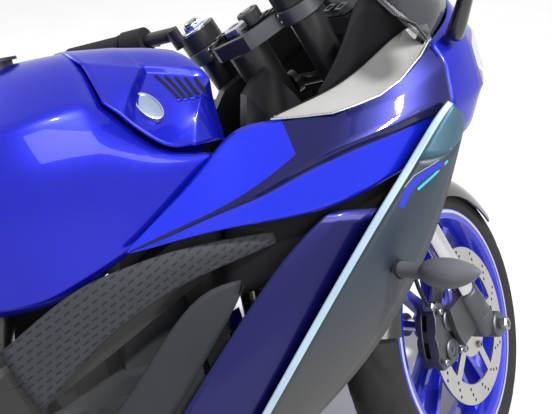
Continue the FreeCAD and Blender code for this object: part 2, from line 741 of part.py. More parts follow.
def rear_axle_bar():
    outer = ARM_INNER_Y + ARM_WALL
    bar = cross_rod(rear_axle, -outer - 22, outer + 22, AXLE_RADIUS)
    ends = [cross_rod(rear_axle, outer + FIT, outer + 12, 15),
            cross_rod(rear_axle, -outer - 12, -outer - FIT, 15)]
    left = cross_rod(rear_axle, CHAIN_Y + SPROCKET_THICKNESS / 2 + 1, ARM_INNER_Y - FIT, 13)
    right = cross_rod(rear_axle, -ARM_INNER_Y + FIT, REAR_DISC_Y - DISC_THICKNESS / 2 - 1, 13)
    spindle = cross_rod(vec(PIVOT_X, 0, PIVOT_Z), -FRAME_PLATE_Y - FRAME_PLATE_WALL - 8,
                        FRAME_PLATE_Y + FRAME_PLATE_WALL + 8, 10)
    return Part.makeCompound([fuse([bar, left, right] + ends), spindle])


def drive_chain():
    """One closed loop round both sprockets: two rows of plates with the rollers between."""
    front = vec(OUTPUT_X, 0, OUTPUT_Z)
    gap = vec(rear_axle.x - front.x, 0, rear_axle.z - front.z)
    slope = math.atan2(-gap.z, -gap.x)
    lift = math.acos((REAR_SPROCKET_RADIUS - FRONT_SPROCKET_RADIUS) / gap.Length)

    def loop(grow):
        big, small = REAR_SPROCKET_RADIUS + grow, FRONT_SPROCKET_RADIUS + grow
        ends = []
        for sign in (1, -1):
            angle = slope + sign * lift
            out = vec(math.cos(angle), 0, math.sin(angle))
            ends.append((rear_axle + out * big, front + out * small))
        ahead = vec(math.cos(slope), 0, math.sin(slope))
        edges = [Part.LineSegment(ends[0][0], ends[0][1]).toShape(),
                 Part.Arc(ends[0][1], front + ahead * small, ends[1][1]).toShape(),
                 Part.LineSegment(ends[1][1], ends[1][0]).toShape(),
                 Part.Arc(ends[1][0], rear_axle - ahead * big, ends[0][0]).toShape()]
        return Part.Face(Part.Wire(edges))

    def band(half_height, y, wide):
        ring = loop(half_height).extrude(vec(0, wide, 0)).cut(
            loop(-half_height).extrude(vec(0, wide, 0)))
        ring.translate(vec(0, y, 0))
        return ring

    half = ROLLER_WIDTH / 2
    return fuse([band(ROLLER_RADIUS, CHAIN_Y - half, ROLLER_WIDTH),
                 band(PLATE_HEIGHT / 2, CHAIN_Y + half, 2 * PLATE_WALL),
                 band(PLATE_HEIGHT / 2, CHAIN_Y - half - 2 * PLATE_WALL, 2 * PLATE_WALL)])


def rear_caliper():
    deep = ARM_INNER_Y - FIT + REAR_DISC_Y
    block = caliper_block(rear_axle, REAR_DISC_Y, REAR_DISC_RADIUS, 118, 155, 78,
                          REAR_DISC_RADIUS + 16, deep, DISC_THICKNESS / 2 + RUN_GAP)
    arm_z = rear_axle.z + 6
    bracket = prism([(rear_axle.x + 46, arm_z), (rear_axle.x + 100, arm_z),
                     (rear_axle.x + 96, arm_z + 48), (rear_axle.x + 50, arm_z + 52)],
                    FIT - ARM_INNER_Y, 8 - ARM_INNER_Y)
    return fuse([block, bracket])


def rear_shock():
    low = vec(PIVOT_X - 100, 0, PIVOT_Z + 26 + 12)
    high = vec(CROSSBAR_X, 0, CROSSBAR_Z)
    way = (high - low).normalize()
    top = high - way * (CROSSBAR_RADIUS + FIT)
    pieces = [rod(low, top, 12)]
    for step in range(5):
        place = low + way * (14 + 17 * step)
        pieces.append(rod(place, place + way * 9, 27))
    eye = cross_rod(low, -15, 15, 12 - FIT)
    return fuse(pieces + [eye])


@once
def engine():
    """The engine as one block: crankcase, leaning cylinders, head and round covers."""
    crankcase = prism([(-26, 330), (0, 290), (70, 268), (236, 270), (280, 316), (280, 400),
                       (250, 470), (60, 486), (-26, 470)], -CRANKCASE_HALF, CRANKCASE_HALF)
    gearbox = prism([(-30, 335), (-108, 345), (-108, 460), (-60, 480), (-20, 470)], -70, 70)
    cylinders = prism([(80, 470), (232, 440), (262, 590), (112, 626)], -80, 80)
    head = prism([(106, 622), (266, 584), (278, 652), (260, 690), (170, 698), (120, 680)],
                 -86, 86)
    clutch = cross_rod(vec(70, 0, 380), -CRANKCASE_HALF - 44, -CRANKCASE_HALF, 78)
    clutch_cap = cross_rod(vec(70, 0, 380), -CRANKCASE_HALF - 56, -CRANKCASE_HALF - 40, 56)
    generator = cross_rod(vec(165, 0, 370), CRANKCASE_HALF, CRANKCASE_HALF + 44, 66)
    output = cross_rod(vec(OUTPUT_X, 0, OUTPUT_Z), 60, CHAIN_Y + 8, 22)
    sprocket = cross_rod(vec(OUTPUT_X, 0, OUTPUT_Z), CHAIN_Y - SPROCKET_THICKNESS / 2,
                         CHAIN_Y + SPROCKET_THICKNESS / 2,
                         FRONT_SPROCKET_RADIUS - ROLLER_RADIUS - 2 * FIT)
    return fuse([crankcase, gearbox, cylinders, head, clutch, clutch_cap, generator, output,
                 sprocket])


FIN_ROWS = 14
FIN_PITCH = 15.5
FIN_GAP = 10.0


def radiator():
    tilt = 14
    core = slab(0, 34, -132, 132, 0, 226)
    tanks = [slab(-2, 36, 132, 152, -4, 230), slab(-2, 36, -152, -132, -4, 230)]
    rows = [slab(28, 40, -126, 126, z, z + FIN_GAP)
            for z in (7 + step * FIN_PITCH for step in range(FIN_ROWS))]
    whole = cut(fuse([core] + tanks), rows)
    whole.rotate(ORIGIN, AXIS_Y, -tilt)
    whole.translate(vec(383, 0, 440))
    upper = [((344, side * 106, 706), (0, 0, -1)) for side in (-1, 1)]
    whole = fastened(whole, main_frame(), upper, 7)
    return fastened(whole, engine(), [((220, 0, 440), (1, 0, 0.06))], 8)


def exhaust():
    pieces = []
    for y in (-46, 46):
        pieces.append(pipe([vec(274, y, 606), vec(318, y, 592), vec(322, y, 330),
                            vec(270, y * 0.6, 232), vec(120, y * 0.3, 228)], 18, 40))
    pieces.append(pipe([vec(140, 0, 228), vec(-60, -10, 228), vec(-170, -110, 228),
                        vec(-262, -188, 292), vec(-300, -198, 312)], 22, 60))
    start, end = vec(-290, -196, 308), vec(-652, -232, 440)
    way = (end - start).normalize()
    pieces.append(rod(start, start + way * 50, 38))
    pieces.append(rod(start + way * 45, end, 52))
    pieces.append(rod(end, end + way * 24, 34))
    ports = [((240, y, 606), (1, 0, 0)) for y in (-46, 46)]
    return fastened(fuse(pieces), engine(), ports, 24)


# Bodywork. Half sections are tables of one side; the other side mirrors them.

def tank_form(grow=0.0):
    # x, top z, then y and z of the shoulder, the side crease, the bulge and the floor
    table = [
        (-168, 798, 36, 794, 68, 774, 86, 740, 88, 665),
        (-90, 879, 48, 873, 112, 832, 133, 790, 112, 640),
        (10, 918, 60, 911, 151, 850, 164, 806, 146, 636),
        (110, 921, 52, 917, 136, 862, 158, 815, 146, 668),
        (210, 911, 46, 903, 128, 834, 140, 790, 132, 768),
        (288, 890, 46, 876, 84, 836, 100, 806, 92, 786)]
    sections = []
    for row in table:
        x, top = row[:2]
        shoulder, crease, bulge, floor = row[2:4], row[4:6], row[6:8], row[8:10]
        half = [floor, bulge, crease, shoulder, (shoulder[0] * 0.35, top)]
        right = [vec(x, -y - grow, z + grow) for y, z in half]
        left = [vec(x, y + grow, z + grow) for y, z in reversed(half)]
        sections.append(right + left)
    return loft(sections)


COVER_OUTLINE = [(112, 990), (118, 906), (137, 859), (190, 801), (243, 780), (330, 740),
                 (430, 990)]


def seam_cut(grow):
    """The region that belongs to the front cover, moved back by grow."""
    outline = [(x - grow, z - grow) for x, z in COVER_OUTLINE]
    return prism(outline, -300, 300)


@once
def fuel_tank():
    filler = rod(vec(20, 0, 880), vec(20, 0, 930), 32)
    saddle = slab(60, 320, -104, 104, 500, 714)
    whole = cut(tank_form(), [seam_cut(SEAM), filler, saddle])
    places = [((30, side * 126, 560), (0, 0, 1)) for side in (-1, 1)]
    return fastened(whole, main_frame(), places, 9)


VENT_SLOTS = 5
VENT_RADIUS = 2.2
SEAT_RADIUS = 17.0


def tank_cover():
    """The cover with a raised blank ring and a row of slanted vents on each side."""
    cover = fastened(tank_form().common(seam_cut(0)), fuel_tank(), [((100, 0, 850), (1, 0, 0))], 10)
    rings, cuts = [], []
    for side in (-1, 1):
        place = vec(196, side * 121, 845)
        way = vec(0.158, side * 0.699, 0.698).normalize()
        rings.append(rod(place - way * 6, place + way * 2, SEAT_RADIUS))
        cuts.append(rod(place + way * 0.5, place + way * 6, SEAT_RADIUS - 3.5))
        for step in range(VENT_SLOTS):
            share = step / (VENT_SLOTS - 1)
            top = vec(217, side * 75, 876) * (1 - share) + vec(277, side * 62, 864) * share
            low = vec(234, side * 88, 858) * (1 - share) + vec(267, side * 93, 839) * share
            cuts.append(rod(top, low, VENT_RADIUS))
    return cut(fuse([cover] + rings), cuts)


def fuel_cap():
    cap = rod(vec(20, 0, 880 + FIT), vec(20, 0, 924), 32 - FIT)
    lip = rod(vec(20, 0, 924), vec(20, 0, 928), 38)
    return fuse([cap, lip])


def seat_loft(table):
    sections = []
    for x, top, half, edge, low_half, floor in table:
        sections.append([vec(x, -low_half, floor), vec(x, -half, edge), vec(x, -half * 0.6, top),
                         vec(x, half * 0.6, top), vec(x, half, edge), vec(x, low_half, floor)])
    return loft(sections)


def rider_seat():
    # x, top z, half width, edge z, lower half width, floor z
    seat = seat_loft([
        (-173, 806, 74, 776, 70, 730),
        (-250, 784, 104, 758, 92, 722),
        (-350, 786, 128, 772, 100, 762),
        (-452, 816, 104, 804, 84, 798)])
    rests = [((-232, side * 92, 660), (0, 0, 1)) for side in (-1, 1)]
    return fastened(seat, seat_subframe(), rests, 8)


def pillion_seat():
    seat = seat_loft([
        (-460, 862, 88, 842, 80, 802),
        (-560, 896, 92, 876, 80, 838),
        (-700, 914, 74, 900, 62, 878),
        (-772, 918, 52, 906, 44, 896)])
    rests = [((-600, side * 63, 770), (0, 0, 1)) for side in (-1, 1)]
    return fastened(seat, seat_subframe(), rests, 8)


@once
def tail_cowl():
    # x, top y, top z, bulge y, bulge z, low y, low z
    table = [
        (-235, 116, 708, 126, 692, 116, 668),
        (-400, 118, 758, 142, 746, 118, 712),
        (-480, 106, 806, 134, 786, 108, 742),
        (-600, 102, 860, 118, 836, 92, 786),
        (-780, 62, 902, 76, 888, 58, 846),
        (-862, 34, 914, 50, 900, 40, 872)]
    right = []
    for column in (1, 3, 5):
        right.append([(row[0], -row[column], row[column + 1]) for row in table])
    left = [[(x, -y, z) for x, y, z in row] for row in reversed(right)]
    shell = skin(right + left, PANEL_WALL, holes=[(2, 0), (2, 1), (2, 2)], across="rows")
    places = [((-430, side * 70, 768), (0, side, 0)) for side in (-1, 1)]
    return fastened(shell, seat_subframe(), places)


def tail_lamp():
    return prism([(-862.6, 874), (-862.6, 912), (-888, 914), (-900, 902), (-884, 876)], -46, 46)


@once
def rear_mudguard():
    outline = [(-790, 844), (-850, 866), (-872, 800), (-1085, 600), (-1078, 592),
               (-960, 680), (-850, 780), (-800, 800)]
    arm = prism(outline, -36, 36)
    plate = slab(0, 4, -90, 90, 0, 170)
    plate.rotate(ORIGIN, AXIS_Y, 25)
    plate.translate(vec(-1100, 0, 560))
    places = [((-806, side * 20, 880), (0, 0, -1)) for side in (-1, 1)]
    return fastened(fuse([arm, plate]), tail_cowl(), places)


# Nose and fairing grids. Rows run upward, columns run from the back of the side to the front.

# Each column of the nose, from the back of its side to the middle: (x, y, z) of the low
# edge, the lamp's low edge, the lamp's top edge and the edge under the screen.
NOSE_COLUMNS = [
    [(474, 213, 704), (476, 223, 772), (480, 209, 794), (486, 197, 810)],
    [(560, 206, 716), (566, 214, 768), (572, 200, 822), (568, 175, 854)],
    [(640, 172, 738), (652, 178, 784), (650, 160, 842), (636, 136, 890)],
    [(690, 112, 756), (706, 120, 796), (696, 110, 858), (664, 92, 911)],
    [(716, 44, 764), (744, 44, 796), (732, 44, 868), (690, 42, 923)],
    [(722, 0, 764), (752, 0, 792), (742, 0, 870), (696, 0, 927)]]
LAMP_COLUMNS = (2, 3, 4)

# The stay's cross bar lies behind the nose's second column, level with its third point.
STAY_S = 890.0
STAY_HALF = 150.0
stay_x = NOSE_COLUMNS[1][3][0] - 16
stay_z = NOSE_COLUMNS[1][2][2]


def both_sides(half_rows):
    """Rows of one side, back to middle, continued over the middle to the other side."""
    rows = []
    for row in half_rows:
        right = [(x, -y, z) for x, y, z in row]
        rows.append(right + [(x, y, z) for x, y, z in reversed(row[:-1])])
    return rows


@once
def fairing_stay():
    """The tube that carries the nose, the screen's base, the clocks and the mirrors."""
    root = on_axis(STAY_S, HEAD_TUBE_RADIUS + 4 + FIT)
    foot = rod(root, root + steer_ahead * 10, 18)
    spine = rod(root + steer_ahead * 4, vec(stay_x, 0, stay_z), 9)
    bar = cross_rod(vec(stay_x, 0, stay_z), -STAY_HALF, STAY_HALF, 11)
    arms = [rod(vec(stay_x, side * (STAY_HALF - 20), stay_z),
                vec(stay_x + 44, side * (STAY_HALF - 24), stay_z + 44), 7) for side in (-1, 1)]
    return fuse([foot, spine, bar] + arms)


@once
def nose_cowl():
    rows = both_sides([[column[i] for column in NOSE_COLUMNS] for i in range(4)])
    count = len(rows[0]) - 1
    lamps = [(1, j) for j in LAMP_COLUMNS[:-1]]
    windows = lamps + [(1, count - 1 - j) for i, j in lamps]
    shell = skin(rows, PANEL_WALL, holes=windows, across="columns")
    places = [((stay_x, side * (STAY_HALF - 20), stay_z), (0, side, 0)) for side in (-1, 1)]
    return fastened(shell, fairing_stay(), places, 6)


def headlamps():
    """Each lamp fills its window in the nose, a seam smaller all round."""
    rows = [[vec(*NOSE_COLUMNS[j][i]) for j in LAMP_COLUMNS] for i in (1, 2)]
    middle = (rows[0][1] + rows[1][1]) * 0.5
    inset = []
    for row in rows:
        inset.append([])
        for point in row:
            moved = point + (middle - point).normalize() * LAMP_GAP
            inset[-1].append((moved.x, -moved.y, moved.z))
    return pair(cut(skin(inset, 26), [nose_cowl()]))


def windscreen():
    # columns from the side to the middle; rows from the base to the top
    rows = [
        [(x, y, z + SCREEN_GAP) for x, y, z in (column[3] for column in NOSE_COLUMNS[1:])],
        [(528, 152, 900), (574, 120, 952), (600, 82, 980), (618, 40, 996), (622, 0, 1000)],
        [(496, 126, 950), (522, 98, 1008), (542, 66, 1032), (554, 32, 1044), (558, 0, 1048)],
        [(474, 92, 1006), (476, 68, 1054), (480, 46, 1072), (484, 22, 1082), (486, 0, 1086)]]
    return skin(both_sides(rows), SCREEN_WALL, across="columns")


def instrument_panel():
    body = slab(0, 28, -80, 80, 0, 84)
    body.rotate(ORIGIN, AXIS_Y, 60)
    body.translate(vec(500, 0, 906))
    places = [((stay_x, side * 40, stay_z), (0, 0, 1)) for side in (-1, 1)]
    return fastened(body, fairing_stay(), places, 6)


def cockpit_panels():
    # x, inner y, inner z, outer y, outer z
    table = [(346, 132, 800, 142, 792), (430, 142, 806, 180, 790), (556, 142, 856, 162, 836)]
    outer = [(x, -y, z) for x, a, b, y, z in table]
    inner = [(x, -a, b) for x, a, b, y, z in table]
    panel = skin([outer, inner], PANEL_WALL)
    return fastened_pair(panel, right_flank(), [((430, -240, 789), (0, 1, 0))], 4)


@once
def right_flank():
    # Columns run forward. Rows are the low edge, the undercut, the outermost crease, the
    # foot of the shoulder and the top edge: crease and undercut make a wedge.
    rows = [
        [(132, 159, 681), (178, 170, 683), (235, 182, 685), (285, 190, 682), (350, 203, 679),
         (412, 210, 684), (468, 213, 701)],
        [(133, 161, 684), (178, 172, 691), (236, 184, 703), (290, 191, 713), (349, 202, 736),
         (411, 209, 749), (470, 212, 757)],
        [(134, 162, 687), (178, 173, 695), (237, 187, 709), (289, 198, 724), (345, 212, 750),
         (406, 220, 762), (472, 223, 771)],
        [(135, 161, 690), (180, 171, 701), (238, 184, 716), (292, 190, 735), (341, 193, 762),
         (402, 196, 786), (470, 206, 793)],
        [(138, 156, 696), (184, 150, 724), (234, 142, 758), (294, 126, 797), (346, 150, 794),
         (404, 182, 795), (466, 198, 803)]]
    flank = skin([[(x, -y, z) for x, y, z in row] for row in rows], PANEL_WALL)
    return fastened(flank, main_frame(), [((310, -60, 714), (0, -1, 0))])


@once
def right_inner_fairing():
    # Rows run up from the belly; each is its rear edge, its middle and its front edge.
    rows = [
        [(70, 182, 384), (120, 192, 358), (180, 200, 326)],
        [(136, 192, 465), (196, 204, 432), (256, 208, 398)],
        [(304, 190, 628), (352, 202, 600), (404, 207, 568)],
        [(375, 194, 674), (424, 204, 666), (470, 206, 656)]]
    panel = skin([[(x, -y, z) for x, y, z in row] for row in rows], PANEL_WALL)
    return fastened(panel, main_frame(), [((214, -100, 500), (0, -1, 0))])


def side_fairings():
    return Part.makeCompound([right_flank(), mirrored(right_flank()),
                              right_inner_fairing(), mirrored(right_inner_fairing())])


@once
def right_wing():
    # Columns run up from the belly; rows are the front edge, the fold, the bevel, the rear edge.
    rows = [
        [(196, 214, 330), (311, 216, 396), (400, 216, 452), (465, 217, 520), (512, 218, 588),
         (546, 220, 655), (578, 224, 750)],
        [(176, 224, 340), (270, 228, 420), (338, 231, 494), (406, 234, 570), (470, 236, 640),
         (520, 237, 694), (568, 234, 762)],
        [(166, 221, 346), (244, 223, 425), (312, 226, 505), (381, 229, 585), (450, 231, 661),
         (500, 232, 713), (559, 230, 776)],
        [(160, 214, 352), (230, 215, 433), (298, 218, 513), (367, 221, 593), (436, 223, 669),
         (488, 224, 723), (552, 224, 783)]]
    panel = skin([[(x, -y, z) for x, y, z in row] for row in rows], PANEL_WALL)
    places = [((340, -190, 520), (0, -1, 0)), ((240, -190, 410), (0, -1, 0))]
    return fastened(panel, right_inner_fairing(), places)


def wing_panels():
    return pair(right_wing())


def belly_pan():
    # x, top y, top z, bottom y, bottom z
    table = [(20, 168, 268, 70, 180), (120, 182, 306, 80, 176), (250, 190, 356, 84, 184),
             (330, 178, 388, 70, 226)]
    top = [(x, -y, z) for x, y, z, a, b in table]
    low = [(x, -a, b) for x, y, z, a, b in table]
    grid = [top, low] + [[(x, -y, z) for x, y, z in row] for row in (low, top)]
    places = [((150, side * 80, 288), (0, side, 0)) for side in (-1, 1)]
    pan = skin(list(reversed(grid)), PANEL_WALL, across="rows")
    return fastened(pan, engine(), places)


def frame_covers():
    rows = [
        [(-29, 158, 512), (59, 160, 577), (129, 162, 608), (199, 164, 627), (306, 165, 634)],
        [(-40, 158, 558), (46, 162, 612), (124, 165, 640), (205, 167, 650), (308, 167, 645)],
        [(-51, 150, 603), (30, 153, 645), (114, 155, 660), (207, 158, 664), (310, 160, 656)]]
    panel = skin([[(x, -y, z) for x, y, z in row] for row in rows], PANEL_WALL)
    places = [((40, -110, 572), (0, -1, 0)), ((200, -110, 640), (0, -1, 0))]
    return fastened_pair(panel, main_frame(), places)


def lower_side_panels():
    rows = [
        [(60, 171, 402), (131, 176, 455), (188, 176, 527), (226, 177, 566)],
        [(20, 170, 426), (96, 175, 478), (150, 177, 540), (208, 177, 582)],
        [(-20, 166, 432), (62, 170, 481), (122, 172, 548), (192, 173, 606)]]
    panel = skin([[(x, -y, z) for x, y, z in row] for row in rows], PANEL_WALL)
    return fastened_pair(panel, main_frame(), [((208, -102, 566), (0, -1, 0))])


def mirrors():
    stalk = rod(vec(608, -182, 866), vec(596, -286, 1050), 9)
    foot = rod(vec(608, -176, 858), vec(608, -186, 872), 15)
    housing = prism([(572, 1038), (600, 1036), (612, 1072), (604, 1110), (578, 1116)], -364, -250)
    places = [((608, -120, 828), (0, -0.85, 0.5))]
    return fastened_pair(fuse([stalk, foot, housing]), nose_cowl(), places, 7)


def winkers():
    front = fuse([rod(vec(446, -242, 579), vec(470, -290, 592), 11),
                  rod(vec(470, -290, 592), vec(494, -340, 605), 17)])
    rear = fuse([rod(vec(-952, -40, 698), vec(-952, -100, 696), 8),
                 rod(vec(-952, -98, 696), vec(-956, -160, 698), 16)])
    front = fastened(front, right_wing(), [((446, -205, 577), (0, -1, 0))], 9)
    rear = fastened(rear, rear_mudguard(), [((-952, -10, 698), (0, -1, 0))], 6)
    return Part.makeCompound([front, rear, mirrored(front), mirrored(rear)])


def footrests():
    pieces = []
    outer = FRAME_PLATE_Y + FRAME_PLATE_WALL + FIT
    for side in (-1, 1):
        y0, y1 = sorted((side * outer, side * (outer + 8)))
        hanger = [(-90, 440), (-90, 400), (-190, 330), (-230, 330), (-230, 350), (-150, 450)]
        plate = prism(hanger, y0, y1)
        y2, y3 = sorted((side * (outer + 4), side * 255))
        peg = cross_rod(vec(-212, 0, 340), y2, y3, 11)
        pieces.append(cut(fuse([plate, peg]),
                          [cross_rod(vec(PIVOT_X, 0, PIVOT_Z), -200, 200, 10 + FIT)]))
        rail = [vec(-385, side * 130, 676), vec(-392, side * 138, 580), vec(-420, side * 138, 500)]
        bar = pipe(rail, 9, 60)
        peg_y = sorted((side * 132, side * 235))
        hanger = fuse([bar, cross_rod(vec(-420, 0, 500), peg_y[0], peg_y[1], 10)])
        pieces.append(fastened(hanger, seat_subframe(), [((-386, side * 85, 655), (0, side, 0))]))
    return Part.makeCompound(pieces)


def foot_controls():
    outer = FRAME_PLATE_Y + FRAME_PLATE_WALL + FIT + 8 + FIT
    brake = fuse([beam([(-200, -(outer + 4), 322, 0, 16, 8), (-60, -(outer + 8), 306, 0, 12, 8)]),
                  cross_rod(vec(-62, 0, 306), -210, -(outer + 4), 7)])
    shift = fuse([beam([(-200, outer + 4, 340, 0, 14, 8), (-60, outer + 8, 334, 0, 12, 8)]),
                  cross_rod(vec(-62, 0, 334), outer + 4, 205, 7)])
    return Part.makeCompound([brake, shift])


# Parked attitude

def steered(shape):
    """Turn a piece of the front end to the left stop."""
    copy = shape.copy()
    copy.rotate(steer_foot, steer_up, STEER_STOP)
    return copy


def lowest(centre, axle, radius, width):
    """The lowest height of a tyre with a round crown, from its centre and axle direction."""
    crown = width / 2
    return centre.z - (radius - crown) * math.sqrt(1 - axle.z ** 2) - crown


turn = FreeCAD.Rotation(steer_up, STEER_STOP)
front_place = steer_foot + turn.multVec(front_axle - steer_foot)
front_way = turn.multVec(AXIS_Y)


def attitude():
    """Lean, then pitch and lift the bike until both tyres stand on the ground."""
    pitch, lift = 0.0, 0.0
    for _ in range(12):
        rotation = FreeCAD.Rotation(AXIS_Y, pitch).multiply(FreeCAD.Rotation(AXIS_X, -LEAN))
        front = rotation.multVec(front_place)
        rear = rotation.multVec(rear_axle)
        low_front = lowest(front, rotation.multVec(front_way), FRONT_TYRE_RADIUS, FRONT_TYRE_WIDTH)
        low_rear = lowest(rear, rotation.multVec(AXIS_Y), REAR_TYRE_RADIUS, REAR_TYRE_WIDTH)
        pitch += math.degrees(math.atan2(low_front - low_rear, front.x - rear.x))
        lift = -(low_front + low_rear) / 2
    return FreeCAD.Placement(vec(0, 0, lift), rotation)


parked = attitude()


def park(shape):
    copy = shape.copy()
    copy.Placement = parked.multiply(copy.Placement)
    return copy


STAND_PIVOT = vec(-62, 158, 284)
STAND_REACH_X = 62.0
STAND_REACH_Y = 118.0
pivot_world = parked.multVec(STAND_PIVOT)
foot_world = vec(pivot_world.x + STAND_REACH_X, pivot_world.y + STAND_REACH_Y, FOOT_THICKNESS)
leg_down = (foot_world - pivot_world).normalize()
leg_folded = parked.Rotation.multVec(vec(-0.98, 0.16, 0.12)).normalize()
stand_axis = leg_folded.cross(leg_down).normalize()
stand_fold = math.degrees(leg_down.getAngle(leg_folded))


def side_stand():
    """The stand, already in the parked attitude: a leg, its eye and a flat foot."""
    leg = rod(pivot_world + leg_down * 10, foot_world + vec(0, 0, 4), STAND_RADIUS)
    eye = Part.makeCylinder(19, 22, pivot_world - stand_axis * 11, stand_axis)
    foot = Part.makeCylinder(24, FOOT_THICKNESS, foot_world - vec(0, 0, FOOT_THICKNESS))
    pin_bore = Part.makeCylinder(7 + FIT, 60, pivot_world - stand_axis * 30, stand_axis)
    ground = slab(-2000, 2000, -2000, 2000, -500, 0)
    return cut(fuse([leg, eye, foot]), [pin_bore, ground])


def stand_bracket():
    """The frame's bracket and pin that the stand turns on, laid out upright."""
    plate = Part.makeCylinder(22, 12, pivot_world + stand_axis * 11.8, stand_axis)
    pin = Part.makeCylinder(7, 38, pivot_world - stand_axis * 14, stand_axis)
    arm = rod(pivot_world + stand_axis * 22, parked.multVec(vec(-84, 134, 318)), 9)
    eye_room = Part.makeCylinder(34, 30, pivot_world - stand_axis * 18.2, stand_axis)
    bracket = fuse([plate, pin, cut(arm, [eye_room])])
    bracket.Placement = parked.inverse().multiply(bracket.Placement)
    return cut(bracket, [slab(-200, 100, 0, FRAME_PLATE_Y, 100, 500)])


STEERING, CHASSIS, FRONT_WHEEL, REAR_WHEEL = "steering", "chassis", "front_wheel", "rear_wheel"
PIECES = [
    ("front_rim", front_rim, FRONT_WHEEL), ("front_tyre", front_tyre, FRONT_WHEEL),
    ("front_disc", front_disc, FRONT_WHEEL), ("rear_rim", rear_rim, REAR_WHEEL),
    ("rear_tyre", rear_tyre, REAR_WHEEL), ("rear_disc", rear_disc, REAR_WHEEL),
    ("rear_sprocket", rear_sprocket, REAR_WHEEL), ("triple_clamps", triple_clamps, STEERING),
    ("fork_tubes", fork_tubes, STEERING), ("fork_legs", fork_legs, STEERING),
    ("front_axle", front_axle_bar, STEERING), ("front_caliper", front_caliper, STEERING),
    ("front_mudguard", front_mudguard, STEERING), ("handlebars", handlebars, STEERING),
    ("hand_controls", hand_controls, STEERING), ("brake_hose", brake_hose, STEERING),
    ("main_frame", main_frame, CHASSIS), ("head_tube", head_tube, CHASSIS),
    ("frame_crossbars", frame_crossbars, CHASSIS), ("seat_subframe", seat_subframe, CHASSIS),
    ("swingarm", swingarm, CHASSIS), ("rear_axle", rear_axle_bar, CHASSIS),
    ("drive_chain", drive_chain, CHASSIS), ("rear_caliper", rear_caliper, CHASSIS),
    ("rear_shock", rear_shock, CHASSIS), ("engine", engine, CHASSIS),
    ("radiator", radiator, CHASSIS), ("exhaust", exhaust, CHASSIS),
    ("fuel_tank", fuel_tank, CHASSIS), ("tank_cover", tank_cover, CHASSIS),
    ("fuel_cap", fuel_cap, CHASSIS), ("fairing_stay", fairing_stay, CHASSIS),
    ("rider_seat", rider_seat, CHASSIS),
    ("pillion_seat", pillion_seat, CHASSIS), ("tail_cowl", tail_cowl, CHASSIS),
    ("tail_lamp", tail_lamp, CHASSIS), ("rear_mudguard", rear_mudguard, CHASSIS),
    ("nose_cowl", nose_cowl, CHASSIS), ("headlamps", headlamps, CHASSIS),
    ("windscreen", windscreen, CHASSIS), ("instrument_panel", instrument_panel, CHASSIS),
    ("cockpit_panels", cockpit_panels, CHASSIS), ("side_fairings", side_fairings, CHASSIS),
    ("wing_panels", wing_panels, CHASSIS), ("belly_pan", belly_pan, CHASSIS),
    ("frame_covers", frame_covers, CHASSIS), ("lower_side_panels", lower_side_panels, CHASSIS),
    ("mirrors", mirrors, CHASSIS), ("winkers", winkers, CHASSIS),
    ("footrests", footrests, CHASSIS), ("foot_controls", foot_controls, CHASSIS)]


def build():
    world = {}
    for name, make, body in PIECES:
        shape = make()
        if body in (STEERING, FRONT_WHEEL):
            shape = steered(shape)
        world[name] = park(shape)
    world["side_stand"] = side_stand()
    return world


def main():
    os.makedirs("parts", exist_ok=True)
    world = build()
    box = Part.makeCompound(list(world.values())).BoundBox
    shift = vec(-(box.XMin + box.XMax) / 2, -(box.YMin + box.YMax) / 2, 0)
    for name, shape in world.items():
        shape.translate(shift)
        shape.exportStep("parts/" + name + ".step")
    print("box", [round(value, 1) for value in (box.XLength, box.YLength, box.ZLength)])
    marks = {
        "steer foot": parked.multVec(steer_foot) + shift,
        "steer axis": parked.Rotation.multVec(steer_up),
        "front axle": parked.multVec(front_place) + shift,
        "front axle way": parked.Rotation.multVec(front_way),
        "rear axle": parked.multVec(rear_axle) + shift,
        "rear axle way": parked.Rotation.multVec(AXIS_Y),
        "stand pivot": pivot_world + shift,
        "stand axis": stand_axis,
        "stand foot": foot_world + shift}
    for name, point in marks.items():
        print(name, [round(value, 4) for value in (point.x, point.y, point.z)])
    print("stand fold", round(stand_fold, 2))


main()
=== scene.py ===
import json
import math

import bmesh
import bpy
from mathutils import Matrix, Vector
from mathutils.bvhtree import BVHTree


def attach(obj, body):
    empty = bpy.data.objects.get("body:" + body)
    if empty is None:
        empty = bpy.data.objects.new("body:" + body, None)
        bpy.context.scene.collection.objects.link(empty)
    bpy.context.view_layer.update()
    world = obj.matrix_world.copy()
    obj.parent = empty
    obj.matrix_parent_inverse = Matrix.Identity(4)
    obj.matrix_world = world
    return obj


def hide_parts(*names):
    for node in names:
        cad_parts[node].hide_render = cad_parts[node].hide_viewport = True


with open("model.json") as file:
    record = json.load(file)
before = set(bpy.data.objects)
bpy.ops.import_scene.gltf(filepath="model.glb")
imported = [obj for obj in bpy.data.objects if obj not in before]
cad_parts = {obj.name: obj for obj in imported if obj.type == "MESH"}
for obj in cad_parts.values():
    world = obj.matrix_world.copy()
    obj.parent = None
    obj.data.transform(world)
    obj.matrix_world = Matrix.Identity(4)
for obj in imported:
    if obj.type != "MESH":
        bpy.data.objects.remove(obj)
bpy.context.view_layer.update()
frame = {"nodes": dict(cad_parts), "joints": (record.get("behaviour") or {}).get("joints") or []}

# The bike is laid out upright with its steering straight, in millimetres: X forward,
# Y to the left, Z up from the ground. Its joints say where it stands in the frame.

